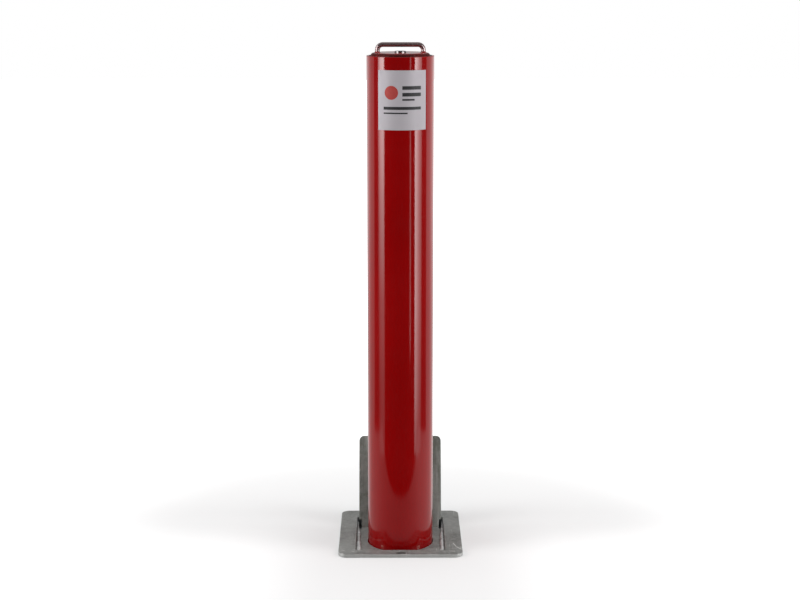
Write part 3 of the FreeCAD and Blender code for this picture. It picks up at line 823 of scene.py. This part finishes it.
@dataclass(frozen=True)
class BrightMetal(Finish):
    """Bright bar or lock metal, with fine draw lines and faint tarnish."""

    colour: Colour
    tarnish: Colour
    roughness: float
    grain: Place = (40.0, 900.0, 900.0)
    grain_depth: float = 0.005 * MM

    def dress(self, made: Material) -> None:
        """Lays out the metal.

        Args:
            made: the material.
        """
        blotches, mottle, _ = made.stains(40.0)
        rough = mottle.ramp(0.0, 1.0, self.roughness, self.roughness + 0.07) + made.scratches(0.3) * 0.15
        made.set(Base_Color=made.blend(blotches * 0.4, self.colour, self.tarnish), Roughness=rough, Metallic=1.0)
        made.bump(made.drawn(self.grain, 0.0, 2.0), self.grain_depth, 0.5)


@dataclass(frozen=True)
class Galvanised(Finish):
    """Dipped zinc with soft grey flowers and dull runs."""

    colour: Colour = (0.36, 0.37, 0.38)
    dark: Colour = (0.22, 0.23, 0.24)

    def dress(self, made: Material) -> None:
        """Lays out the zinc.

        Args:
            made: the material.
        """
        flowers = made.wire("ShaderNodeTexVoronoi", {"Vector": made.where, "Scale": 75.0}, "Color")
        grey = made.wire("ShaderNodeSeparateColor", {0: flowers})
        blotches, mottle, _ = made.stains(9.0)
        made.set(Base_Color=made.blend((grey + blotches) * 0.5, self.colour, self.dark),
                 Roughness=grey.ramp(0.0, 1.0, 0.42, 0.6), Metallic=0.9)
        made.bump(mottle, 0.05 * MM, 0.6)


@dataclass(frozen=True)
class WeldMetal(Finish):
    """Bright weld with darker heat tint between its ripples."""

    colour: Colour = (0.66, 0.68, 0.675)
    tint: Colour = (0.26, 0.255, 0.25)

    def dress(self, made: Material) -> None:
        """Lays out the weld metal.

        Args:
            made: the material.
        """
        blotches, mottle, _ = made.stains(60.0)
        made.set(Base_Color=made.blend(blotches * 0.8, self.colour, self.tint),
                 Roughness=mottle.ramp(0.0, 1.0, 0.26, 0.5), Metallic=0.15)
        made.bump(mottle, 0.12 * MM, 0.8)


@dataclass(frozen=True)
class Bar:
    """One printed bar on the label: its edges in millimetres from the label's middle."""

    left: float
    right: float
    low: float
    high: float


@dataclass(frozen=True)
class LabelFilm(Finish):
    """Silver-grey film with plain printed shapes: a red disc (place and radius) and dark bars, and painted shade
    towards its foot.
    """

    middle: float
    radius: float
    film: Colour = (0.40, 0.372, 0.40)
    # dull is the colour both of the film's random duller tone and of its painted shade towards the foot
    dull: Colour = (0.385, 0.361, 0.385)
    ink: Colour = (0.010, 0.010, 0.011)
    red: Colour = (0.36, 0.022, 0.014)
    disc: Place = (-15.5, 12.5, 11.5)
    bars: tuple[Bar, ...] = (Bar(3.0, 36.0, 17.5, 23.5), Bar(3.0, 36.0, 6.5, 12.5), Bar(3.0, 24.0, -0.5, 2.5),
                             Bar(-29.0, 36.0, -15.5, -10.5), Bar(-29.0, 12.0, -22.5, -20.0))
    shade: Ramp = (30.0, -50.0, 0.0, 0.7)
    wave_depth: float = 0.04 * MM

    def dress(self, made: Material) -> None:
        """Lays out the printed film.

        Args:
            made: the material.
        """
        x, y, height = made.xyz(made.where)
        across = made.sum("ARCTAN2", x, y * -1.0) * (self.radius / MM)
        up = (height - self.middle) / MM
        # painted shade: besides a random tone, the film is darkened towards its foot
        tone = made.noise(18.0, 3.0).ramp(0.3, 0.7, 0.0, 0.25) + up.ramp(*self.shade)
        colour = made.blend(tone, self.film, self.dull)
        for bar in self.bars:
            mask = across.between(bar.left, bar.right) * up.between(bar.low, bar.high)
            colour = made.blend(mask, colour, self.ink)
        disc_across, disc_up, disc_radius = self.disc
        away = ((across - disc_across) ** 2.0 + (up - disc_up) ** 2.0) ** 0.5
        colour = made.blend(made.sum("LESS_THAN", away, disc_radius), colour, self.red)
        rough = tone.ramp(0.0, 0.25, 0.50, 0.58) + made.scratches(0.25) * 0.2
        made.set(Base_Color=colour, Roughness=rough, IOR=1.45)
        made.bump(made.noise(60.0, 2.0), self.wave_depth, 0.35)


class Finishes:
    """All the materials of the bollard, each built once.

    The cap's groove has painted shade from a depth below the tube's rim to a depth below the cap's face.
    """

    groove_reach: Span = (2.5 * MM, 0.35 * MM)

    def __init__(self) -> None:
        """Builds every finish."""
        shared = SharedEffects()
        plate = BareSteel((0.252, 0.257, 0.245), (0.146, 0.149, 0.139), (0.66, 0.66, 0.645), 14.0, 0.42, 0.4,
                          scratch=0.9, edge_width=2.6 * MM, marks=FrontMarks(), side_face_lightening=0.6, brightness_in_reflections=0.5)
        lid = BareSteel((0.248, 0.266, 0.246), (0.112, 0.12, 0.102), (0.47, 0.505, 0.475), 16.0, 0.5, 0.6,
                        streaks=0.8)
        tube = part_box("post_tube")[1]
        low, high = (place - depth for place, depth in zip((tube.z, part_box("top_cap")[1].z), self.groove_reach))
        # painted light: the cap's coat runs a brighter red than the tube's, a lighter copy of the same paint for its
        # lit top
        cap = RedCoat(bright=(0.33, 0.001, 0.0015), groove=(low, high))
        label_low, label_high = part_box("label")
        label = LabelFilm((label_low.z + label_high.z) / 2, tube.x)
        self.red = RedCoat(flakes_and_foot_highlights=True).build(shared, "red_coat")
        self.red_inside = RedCoat().build(shared, "red_coat_plain")
        self.cap = cap.build(shared, "red_coat_cap_painted_light_and_shade")
        self.plate = plate.build(shared, "frame_steel")
        self.lid = lid.build(shared, "lid_steel_stained")
        self.zinc = Galvanised().build(shared, "dipped_zinc")
        self.weld = WeldMetal().build(shared, "bead_metal")
        self.bow = BrightMetal((0.36, 0.275, 0.275), (0.25, 0.185, 0.185), 0.34).build(shared, "handle_bar_metal")
        self.bolt = BrightMetal((0.48, 0.48, 0.48), (0.30, 0.29, 0.27), 0.28).build(shared, "bolt_metal")
        self.ring = BrightMetal((0.29, 0.265, 0.265), (0.20, 0.18, 0.18), 0.30).build(shared, "lock_ring_metal")
        self.plug = BrightMetal((0.045, 0.042, 0.04), (0.02, 0.019, 0.018), 0.35).build(shared, "lock_plug_metal")
        self.label = label.build(shared, "label_film_printed")


@dataclass
class Post:
    """The painted post: tube, cap, bow handle, lock ring, label and inner plates.

    A collar's steps are shares of the bar's radius and millimetres above the cap. The steps of the lock ring's two
    upper edges are millimetres from its side or its bore, and below its top.
    """

    finishes: Finishes
    tube_sides: int = 192
    rim_round: float = 0.9 * MM
    rim_steps: int = 4
    groove_depth: float = 2.0 * MM
    disc_foot: float = 50.0 * MM
    disc_flat: float = 43.5 * MM
    disc_sides: int = 128
    shoulder_steps: int = 7
    bow_bend: float = 9.0 * MM
    bend_steps: int = 10
    bar_sides: int = 32
    collar: Profile = ((1.42, -0.3), (1.40, 0.15), (1.18, 0.55), (1.06, 1.3), (0.98, 1.9))
    bore_slip: float = 0.15 * MM
    barrel_step: float = 1.25 * MM
    ring_lift: float = 0.02 * MM
    ring_edge: Profile = ((0.0, 0.9), (0.3, 0.35), (1.0, 0.0))
    bore_edge: Profile = ((0.6, 0.0), (0.0, 0.5))
    ring_sides: int = 96
    bore_depth: float = 9.0 * MM
    film_lift: float = 0.03 * MM
    film_thickness: float = 0.25 * MM
    film_round: float = 0.1 * MM
    film_rows: int = 12
    film_columns: int = 48

    def build(self) -> None:
        """Builds and fits every piece of the post."""
        self._tube()
        self._cap()
        self._bow()
        self._lock_ring()
        self._label()
        for node, name in (("foot_plate", "foot_disc"), ("rod_guides", "rod_guide_plates")):
            fit_softened(node, name, Body.POST, Slot.RED, self.finishes.red_inside, 0.4)

    def _tube(self) -> None:
        """The tube, with its wall and rounded rims."""
        tube = pipe("painted_tube", "post_tube", "foot_plate", self.tube_sides, self.rim_round, self.rim_steps)
        fit(tube, Body.POST, Slot.RED, self.finishes.red, "post_tube")

    def _cap(self) -> None:
        """The cap: a raised disc with a soft shoulder, inside a groove below the tube's rim."""
        low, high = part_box("top_cap")
        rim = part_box("post_tube")[1].z
        floor = rim - self.groove_depth
        run, rise = self.disc_foot - self.disc_flat, high.z - rim
        angles = [QUARTER * step / self.shoulder_steps for step in range(1, self.shoulder_steps + 1)]
        cap = turned("cap_disc", (
            (high.x, low.z), (high.x, floor), (self.disc_foot, floor), (self.disc_foot, rim),
            *((self.disc_flat + run * math.cos(angle), rim + rise * math.sin(angle)) for angle in angles),
        ), self.disc_sides)
        smooth(cap, 40.0)
        fit(cap, Body.POST, Slot.RED, self.finishes.cap, "top_cap")

    def _bow(self) -> None:
        """The lifting handle: a round bar drawn up, bent, drawn across, bent and drawn down."""
        low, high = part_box("lift_handle")
        radius = high.y
        leg = high.x - radius
        straight = leg - self.bow_bend
        shoulder = high.z - radius - self.bow_bend
        bpy.ops.mesh.primitive_circle_add(vertices=self.bar_sides, radius=radius, fill_type="NGON",
                                          location=(-leg, 0.0, low.z))
        bow = claim("bow_handle")
        with editing(bow):
            extrude(0.0, 0.0, shoulder - low.z)
            self._bend(-straight, shoulder)
            extrude(2.0 * straight, 0.0, 0.0)
            self._bend(straight, shoulder)
            extrude(0.0, 0.0, low.z - shoulder)
        face_outwards(bow)
        smooth(bow)
        fit(bow, Body.POST, Slot.BRIGHT, self.finishes.bow, "lift_handle")
        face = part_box("top_cap")[1].z
        steps = tuple((radius * share, MM * height) for share, height in self.collar)
        collar = joined("handle_collars", [turned(f"collar_{sign}", steps, self.bar_sides, (leg * sign, 0.0, face))
                                           for sign in (-1, 1)])
        smooth(collar, 50.0)
        fit(collar, Body.POST, Slot.RED, self.finishes.red_inside)

    def _bend(self, x: float, z: float) -> None:
        """Bends the drawn bar by a quarter turn about a place."""
        bpy.ops.mesh.spin(steps=self.bend_steps, angle=-QUARTER, center=(x, 0.0, z), axis=BACK)

    def _lock_ring(self) -> None:
        """The lock's bright ring and the barrel below it."""
        low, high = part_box("lock_housing")
        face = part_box("top_cap")[1].z
        foot = face + self.ring_lift
        ring, barrel = high.x, high.x - self.barrel_step
        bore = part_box("lock_plug")[1].x + self.bore_slip
        piece = turned("lock_ring", (
            (barrel, low.z), (barrel, foot), (ring, foot),
            *((ring - MM * inwards, high.z - MM * down) for inwards, down in self.ring_edge),
            *((bore + MM * outwards, high.z - MM * down) for outwards, down in self.bore_edge),
            (bore, face - self.bore_depth)), self.ring_sides)
        smooth(piece, 30.0)
        fit(piece, Body.POST, Slot.LOCK, self.finishes.ring, "lock_housing")

    def _label(self) -> None:
        """The label film, spun round the tube from its left to its right edge."""
        low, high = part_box("label")
        left, right = (math.asin(x / -low.y) for x in (low.x, high.x))
        height = high.z - low.z
        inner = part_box("post_tube")[1].x + self.film_lift
        bpy.ops.mesh.primitive_plane_add(size=height, location=(0.0, -(inner + height / 2), (low.z + high.z) / 2),
                                         rotation=(0.0, QUARTER, 0.0))
        film = claim("label_sheet")
        with editing(film):
            pick(film, Pick.EDGE, lambda middle: middle.y < MM - inner - height)
            bpy.ops.mesh.delete(type="VERT")
            bpy.ops.mesh.select_all(action="SELECT")
            bpy.ops.mesh.subdivide(number_cuts=self.film_rows - 1)
        film.matrix_world = Matrix.Rotation(left, 4, "Z")
        settle(film)
        with editing(film):
            bpy.ops.mesh.spin(steps=self.film_columns, angle=left - right, center=ORIGIN, axis=UP)
        face_outwards(film)
        modify(film, "SOLIDIFY", thickness=self.film_thickness, offset=1.0)
        break_edges(film, self.film_round, 1, 50.0)
        smooth(film, 45.0)
        fit(film, Body.POST, Slot.LABEL, self.finishes.label, "label")


@dataclass
class LockBolt:
    """What turns with the key: plug, rod, coupling and cross head."""

    finishes: Finishes
    rod_chamfer: float = 0.6 * MM
    rod_sides: int = 40

    def build(self) -> None:
        """Builds and fits every piece that turns with the key."""
        fit_softened("lock_plug", "key_plug", Body.BOLT, Slot.LOCK, self.finishes.plug, 0.3)
        low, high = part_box("lock_rod")
        end = self.rod_chamfer
        rod = turned("lock_rod_bar", ((high.x - end, low.z), (high.x, low.z + end), (high.x, high.z - end),
                                      (high.x - end, high.z)), self.rod_sides)
        smooth(rod)
        fit(rod, Body.BOLT, Slot.BRIGHT, self.finishes.bolt, "lock_rod")
        for node, name in (("rod_coupling", "coupling_block"), ("cross_head", "cross_head_forged")):
            fit_softened(node, name, Body.BOLT, Slot.BRIGHT, self.finishes.bolt, 0.6)


@dataclass
class GroundSocket:
    """The socket in the ground: frame plate, seat, welds, tube, keeper, trough and the hinge's fixed half.

    A bead's path, in millimetres, is its middle line's distance from the axis and its half width, at even steps from
    front to back. Its ripple is a share of that and a lag across the bead, its lumps are a share and two waves along
    it, and its ends start at a share and grow. A rib's form is a share of the bar's radius and of the ribs' pitch.
    """

    finishes: Finishes
    tube_sides: int = 128
    rim_round: float = 0.5 * MM
    rim_steps: int = 2
    bead_front: float = 1.0 * MM
    bead_back: float = 2.0 * MM
    bead_rise: float = 2.7 * MM
    bead_sink: float = 0.6 * MM
    bead_rings: int = 64
    bead_sides: int = 20
    bead_ripple: Span = (0.09, 2.5)
    bead_lumps: tuple[float, float, float] = (0.16, 31.0, 13.0)
    bead_ends: Span = (0.45, 22.0)
    bead_left: Profile = ((73.2, 4.8), (73.3, 4.0), (73.7, 3.4), (74.1, 2.7), (74.2, 3.3), (74.8, 2.4), (75.6, 1.4),
                          (76.6, 0.9), (76.8, 0.8))
    bead_right: Profile = ((73.4, 4.2), (73.9, 3.1), (73.9, 3.6), (74.1, 2.9), (74.4, 3.3), (75.0, 2.4), (75.8, 1.6),
                           (76.8, 1.0), (76.9, 0.8))
    ribs: int = 22
    rib_form: Profile = ((0.93, 0.0), (0.93, 0.55), (1.0, 0.68), (1.0, 0.87))
    bar_sides: int = 24

    def build(self) -> None:
        """Builds and fits every piece of the socket."""
        steel, zinc, bright = self.finishes.plate, self.finishes.zinc, self.finishes.bolt
        for node, name, width, slot, finish in (
            ("frame_plate", "frame_sheet", 0.8, Slot.PLATE, steel),
            ("seat_plate", "seat_sheet", 0.5, Slot.PLATE, steel),
            ("hinge_arms", "hinge_arm_pair", 0.6, Slot.PLATE, steel),
            ("socket_floor", "socket_floor_plate", 0.6, Slot.GALVANISED, zinc),
            ("keeper_plate", "keeper_disc", 0.6, Slot.GALVANISED, zinc),
            ("lid_trough", "heel_trough", 0.5, Slot.GALVANISED, zinc),
            ("hinge_pin", "hinge_bolt", 0.5, Slot.BRIGHT, bright),
            ("hinge_nut", "hinge_bolt_nut", 0.5, Slot.BRIGHT, bright),
        ):
            fit_softened(node, name, Body.GROUND, slot, finish, width)
        self._beads()
        tube = pipe("socket_sleeve", "socket_tube", "keeper_plate", self.tube_sides, self.rim_round, self.rim_steps)
        fit(tube, Body.GROUND, Slot.GALVANISED, zinc, "socket_tube")
        self._anchors()

    def _bead(self, name: str, sign: int, path: Profile) -> bpy.types.Object:
        """One uneven weld bead along Y.

        Args:
            name: the bead's name.
            sign: which side it lies on.
            path: its path.

        Returns:
            The bead.
        """
        low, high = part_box("recess_welds")
        front, back = low.y + self.bead_front, high.y - self.bead_back
        length = back - front
        bpy.ops.mesh.primitive_cylinder_add(vertices=self.bead_sides, radius=1.0, depth=length,
                                            rotation=(-QUARTER, 0.0, 0.0))
        bead = claim(name)
        for cut in range(1, self.bead_rings):
            with editing(bead):
                bpy.ops.mesh.bisect(plane_co=(0.0, length * (cut / self.bead_rings - 0.5), 0.0), plane_no=BACK)
        last = len(path) - 1
        (rise, lag), (swell, quick, slow), (blunt, growth) = self.bead_ripple, self.bead_lumps, self.bead_ends
        for vertex in bead.data.vertices:
            along = min(max(vertex.co.y / length + 0.5, 0.0), 1.0)
            step = min(int(along * last), last - 1)
            part = along * last - step
            middle, half = (MM * (start + (end - start) * part) for start, end in zip(path[step], path[step + 1]))
            ripple = 1.0 + rise * math.sin(along * QUARTER * self.bead_rings + lag * abs(vertex.co.x))
            lump = 1.0 + swell * math.sin(along * quick + sign) * math.sin(along * slow + 2.0 * sign)
            form = ripple * lump * min(1.0, blunt + min(along, 1.0 - along) * growth)
            vertex.co.x = sign * middle + vertex.co.x * half * form
            vertex.co.z = vertex.co.z * min(half, self.bead_rise) * form + self.bead_sink
            vertex.co.y += (front + back) / 2
        return bead

    def _beads(self) -> None:
        """The two weld beads beside the seat, wide in front and thin beside the lid's heel."""
        beads = joined("recess_beads", [self._bead("bead_left", -1, self.bead_left),
                                        self._bead("bead_right", 1, self.bead_right)])
        face_outwards(beads)
        modify(beads, "SUBSURF", levels=1, render_levels=1)
        smooth(beads, 60.0)
        fit(beads, Body.GROUND, Slot.WELD, self.finishes.weld, "recess_welds")

    def _anchors(self) -> None:
        """The two anchor bars, ribbed as concrete steel is."""
        low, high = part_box("anchor_bars")
        radius = (high.z - low.z) / 2
        pitch = (high.x - low.x) / self.ribs
        steps = [(radius * share, (rib + along) * pitch) for rib in range(self.ribs) for share, along in self.rib_form]
        steps.append((radius * self.rib_form[0][0], self.ribs * pitch))
        bars = []
        for sign in (-1, 1):
            bar = turned(f"bar_{sign}", tuple(steps), self.bar_sides)
            place = (low.x, (high.y - radius) * sign, (low.z + high.z) / 2)
            bar.matrix_world = Matrix.Translation(place) @ Matrix.Rotation(QUARTER, 4, "Y")
            settle(bar)
            bars.append(bar)
        pair = joined("ribbed_anchor_bars", bars)
        smooth(pair, 50.0)
        fit(pair, Body.GROUND, Slot.GALVANISED, self.finishes.zinc, "anchor_bars")


@dataclass
class Lid:
    """The socket's open lid and its hinge lugs."""

    finishes: Finishes
    round_steps: int = 3

    def build(self) -> None:
        """Builds and fits the lid and its lugs."""
        for node, name, width in (("lid_plate", "lid_sheet", 0.8), ("lid_lugs", "lid_lug_pair", 0.6)):
            fit_softened(node, name, Body.LID, Slot.LID, self.finishes.lid, width, self.round_steps)


class Surfaces(Enum):
    """What a lamp lights."""

    ALL = "all"
    GLOSSY = "glossy"
    MATT = "matt"


def around(angle: float, distance: float, height: float) -> Place:
    """Gives the place at an angle in degrees from the front, at a distance from the post's axis."""
    return math.sin(math.radians(angle)) * distance, -math.cos(math.radians(angle)) * distance, height


@dataclass(frozen=True)
class SoftBox:
    """A plain lamp that looks equally bright from any distance.

    It has its middle's place, what it faces, its width and height, and how bright its face is.
    """

    name: str
    place: Place
    target: Place
    size: Span
    radiance: float
    lights: Surfaces

    def light(self) -> bpy.types.Light:
        """Adds the lamp to the scene.

        Returns:
            The lamp's data.
        """
        data = bpy.data.lights.new(self.name, "AREA")
        data.shape = "RECTANGLE"
        data.size, data.size_y = self.size
        data.energy = self.radiance * math.pi * self.size[0] * self.size[1]
        lamp = bpy.data.objects.new(self.name, data)
        bpy.context.scene.collection.objects.link(lamp)
        lamp.location = self.place
        lamp.rotation_euler = (Vector(self.target) - Vector(self.place)).to_track_quat("-Z", "Y").to_euler()
        lamp.visible_camera = False
        lamp.visible_diffuse = self.lights is not Surfaces.GLOSSY
        lamp.visible_glossy = self.lights is not Surfaces.MATT
        return data


@dataclass(frozen=True)
class SideBox:
    """A tall soft box beside the post, whose face is dimmer towards its foot and its outer edge.

    It stands between two angles from the front, in degrees. The steps up and across are a height in metres or
    a share of the width, and how bright the face is there.
    """

    name: str
    inner: float
    outer: float
    upwards: Profile
    across: Profile
    distance: float = 0.6

    def light(self) -> None:
        """Stands the lamp on the floor, with its face shaded upwards and across."""
        width = 2.0 * self.distance * math.tan(math.radians(abs(self.outer - self.inner)) / 2)
        height = self.upwards[-1][0]
        place = around((self.inner + self.outer) / 2, self.distance, height / 2)
        data = SoftBox(self.name, place, (0.0, 0.0, height / 2), (width, height), 1.0, Surfaces.GLOSSY).light()
        data.use_nodes = True
        layout = Shading(data.node_tree)
        share, up, _ = layout.xyz(layout.wire("ShaderNodeTexCoord", output="UV"))
        if self.inner < 0.0:
            share = share * -1.0 + 1.0
        strength = self._steps(up * height, self.upwards) * self._steps(share, self.across)
        layout.feed_all(data.node_tree.nodes["Emission"], {"Strength": strength})

    @staticmethod
    def _steps(value: Wire, steps: Profile) -> Wire:
        """Runs in straight lines through steps, which each have a place and the brightness there."""
        parts = [value.line(start, end, 0.0, high - low) for (start, low), (end, high) in zip(steps, steps[1:])]
        return reduce(Wire.__add__, parts) + steps[0][1]


@dataclass(frozen=True)
class Room:
    """The room as gloss shows it: pale behind the post and dark in front.

    A ramp has a start and an end in the unit direction from the post, and its values there. White differs from left
    to right and rises behind the post, and the wall is where it starts. Above and below, the white falls off.
    """

    left: Ramp = (-1.0, -0.2, 0.26, 0.48)
    right: Ramp = (-1.0, -0.45, 0.26, 0.62)
    middle: Span = (-0.15, 0.15)
    behind: Ramp = (0.4, 0.95, 0.0, 0.34)
    wall: Span = (0.165, 0.215)
    wall_lean: float = 0.02
    dark: Ramp = (-0.75, 0.1, 0.02, 0.09)
    upper: Ramp = (-0.02, 0.45, 0.43, 0.28)
    lower: Ramp = (0.01, -0.04, 0.0, 0.8)
    overhead: Ramp = (0.35, 0.8, 0.0, 0.12)
    on_matt: Ramp = (-0.5, 0.4, 0.62, 0.75)

    def seen(self, way: Wire) -> tuple[Wire, Wire, Wire]:
        """Says how bright the room looks from the post.

        Args:
            way: the direction from the post.

        Returns:
            The brightness of white there, whether the white wall is there, and how bright the dark is.
        """
        x, y, _ = way.layout.xyz(way)
        left, right, share = y.line(*self.left), y.line(*self.right), x.ramp(*self.middle)
        lit = left + (right - left) * share + y.ramp(*self.behind)
        return lit, (y + share * self.wall_lean).ramp(*self.wall), y.ramp(*self.dark)

    def build(self) -> None:
        """Builds the world, which is white to the camera and this room to all else."""
        world = bpy.data.worlds.new("studio_room")
        bpy.context.scene.world = world
        world.use_nodes = True
        layout = Shading(world.node_tree)
        rays = layout.wires("ShaderNodeLightPath")
        way = layout.wire("ShaderNodeTexCoord", output="Generated")
        _, y, up = layout.xyz(way)
        lit, wall, dark = self.seen(way)
        room = dark + lit * wall * (up.ramp(*self.upper) + up.ramp(*self.lower)) + up.ramp(*self.overhead)
        soft = rays["Is Diffuse Ray"] * y.ramp(*self.on_matt) + rays["Is Glossy Ray"] * room
        layout.feed_all(world.node_tree.nodes["Background"],
                        {"Color": WHITE, "Strength": rays["Is Camera Ray"].most(soft)})


@dataclass
class Floor:
    """The pale floor, with the pit that the socket stands in.

    Gloss shows it as a white sheet, dark beyond its front and sides, and as the room's wall far behind. A ramp has a
    start and an end in metres, and its values there. The glow is what the camera sees besides the floor's colour.
    """

    room: Room
    size: float = 24.0
    drop: float = 0.2 * MM
    pit_margin: float = 3.0 * MM
    pit_below: float = 4.0 * MM
    pale: Colour = (0.86, 0.86, 0.86)
    concrete: tuple[Colour, Colour] = ((0.10, 0.098, 0.094), (0.17, 0.165, 0.158))
    sheet_front: float = -0.342
    sheet_side: Span = (0.78, 0.72)
    far_wall: Ramp = (1.4, 4.5, 1.0, 1.45)
    reflected_shade_near_frame: Ramp = (0.098, 0.114, 0.2, 1.0)
    glow: Ramp = (0.4, 1.1, 0.02, 1.1)
    glow_behind: Span = (0.12, 0.7)
    glow_beside: Span = (0.115, 0.30)
    glow_beside_front: Ramp = (0.16, -0.06, 0.0, 0.6)
    glow_share: float = 0.2

    def build(self) -> None:
        """Builds the floor, whose opening below the frame plate leads to the dark pit."""
        low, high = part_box("seat_plate")
        half = high.x + self.pit_margin
        front, rear = low.y - self.pit_margin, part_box("lid_trough")[1].y + self.pit_margin
        depth = self.pit_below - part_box("socket_floor")[0].z
        bpy.ops.mesh.primitive_plane_add(size=self.size, location=(0.0, 0.0, -self.drop))
        floor = claim("studio_floor")
        with editing(floor):
            bpy.ops.mesh.inset(thickness=self.size / 2 - half)
            bpy.ops.transform.resize(value=(1.0, (rear - front) / (2.0 * half), 1.0), center_override=ORIGIN)
            bpy.ops.transform.translate(value=(0.0, (front + rear) / 2, 0.0))
            extrude(0.0, 0.0, -depth)
        floor.data.materials.append(self._pale_finish())
        floor.data.materials.append(self._pit_finish())
        with editing(floor):
            pick(floor, Pick.FACE, lambda middle: middle.z < -2.0 * self.drop)
            floor.active_material_index = 1
            bpy.ops.object.material_slot_assign()

    def _pale_finish(self) -> bpy.types.Material:
        """The floor's matt finish, with what gloss and the camera see of it.

        Returns:
            The material.
        """
        made = Material("pale_floor")
        rays = made.wires("ShaderNodeLightPath")
        glossy = rays["Is Glossy Ray"]
        way = made.wire("ShaderNodeVectorMath", {0: made.where}, operation="NORMALIZE")
        away = made.wire("ShaderNodeVectorMath", {0: made.where}, "Value", operation="LENGTH")
        x, y, _ = made.xyz(made.where)
        aside = abs(x)
        sheet = made.sum("GREATER_THAN", y, self.sheet_front) * aside.ramp(*self.sheet_side)
        lit, wall, dark = self.room.seen(way)
        shown = dark + lit * sheet.most(wall * away.ramp(*self.far_wall))
        # painted shade: in reflections the floor darkens close round the frame
        shown = shown * aside.most(abs(y)).ramp(*self.reflected_shade_near_frame)
        beside = aside.ramp(*self.glow_beside) * y.ramp(*self.glow_beside_front)
        glow = away.ramp(*self.glow) + y.ramp(*self.glow_behind).most(beside) * self.glow_share
        made.set(Base_Color=made.blend(glossy, self.pale, BLACK), Roughness=0.9, Specular_IOR_Level=0.1,
                 Emission_Color=WHITE, Emission_Strength=rays["Is Camera Ray"] * glow + glossy * shown)
        return made.made

    def _pit_finish(self) -> bpy.types.Material:
        """The pit's rough concrete.

        Returns:
            The material.
        """
        made = Material("pit_concrete")
        tone = made.noise(30.0, 6.0).ramp(0.3, 0.7)
        made.set(Base_Color=made.blend(tone, *self.concrete), Roughness=0.95)
        return made.made


@dataclass
class Studio:
    """Where the bollard is pictured: floor, lamps, room, and a camera at the photograph's place and angle."""

    camera_place: Place = (-0.00988, -2.6455, 0.9974)
    camera_pitch: float = 11.925
    camera_turn: float = -0.201
    lens: float = 70.22
    sensor: float = 36.0
    lamps: tuple[SideBox | SoftBox, ...] = (
        SideBox("left_box", -54.5, -78.0,
                ((0.0, 0.5), (0.15, 0.7), (0.33, 1.5), (0.53, 4.4), (0.83, 11.0), (1.2, 11.0)),
                ((0.0, 0.85), (0.25, 1.0), (0.55, 0.85), (0.8, 0.55), (1.0, 0.3))),
        SideBox("right_box", 48.2, 74.5,
                ((0.0, 1.4), (0.06, 2.0), (0.12, 3.3), (0.33, 5.9), (0.53, 6.9), (0.83, 9.8), (1.2, 9.8)),
                ((0.0, 1.15), (0.2, 1.0), (0.4, 0.7), (0.58, 0.47), (0.74, 0.33), (1.0, 0.16))),
        SoftBox("thin_strip", (0.828, -1.251, 0.755), (0.0, 0.0, 0.755), (0.09, 1.5), 2.0, Surfaces.GLOSSY),
        SoftBox("overhead_box", (0.0, 0.3, 2.3), ORIGIN, (3.2, 2.6), 0.2, Surfaces.ALL),
        SoftBox("left_fill", around(-80.0, 1.4, 0.8), (0.0, 0.0, 0.45), (0.5, 1.6), 4.6, Surfaces.MATT),
        SoftBox("right_fill", around(80.0, 1.4, 0.8), (0.0, 0.0, 0.45), (0.5, 1.6), 4.6, Surfaces.MATT))

    def build(self) -> None:
        """Builds the floor, the lamps, the room and the camera."""
        room = Room()
        Floor(room).build()
        for lamp in self.lamps:
            lamp.light()
        room.build()
        self._camera()
        bpy.context.scene.view_settings.view_transform = "Standard"

    def _camera(self) -> None:
        """The camera, turned from looking straight down."""
        data = bpy.data.cameras.new("camera")
        data.lens = self.lens
        data.sensor_width = self.sensor
        camera = bpy.data.objects.new("camera", data)
        bpy.context.scene.collection.objects.link(camera)
        camera.location = self.camera_place
        camera.rotation_euler = (math.radians(90.0 - self.camera_pitch), 0.0, math.radians(self.camera_turn))
        bpy.context.scene.camera = camera


def dress_small_nodes(finish: bpy.types.Material) -> None:
    """Gives the small hidden fasteners, which stay as the frame has them, their finish.

    Args:
        finish: their material.
    """
    for node in ("handle_nuts", "lock_nut"):
        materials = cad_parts[node].data.materials
        materials.clear()
        materials.append(finish)


def main() -> None:
    """Builds the whole scene."""
    logging.basicConfig(level=logging.INFO, format="%(message)s")
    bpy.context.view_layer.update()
    finishes = Finishes()
    Post(finishes).build()
    LockBolt(finishes).build()
    GroundSocket(finishes).build()
    Lid(finishes).build()
    dress_small_nodes(finishes.bolt)
    Studio().build()


if __name__ == "__main__":
    main()
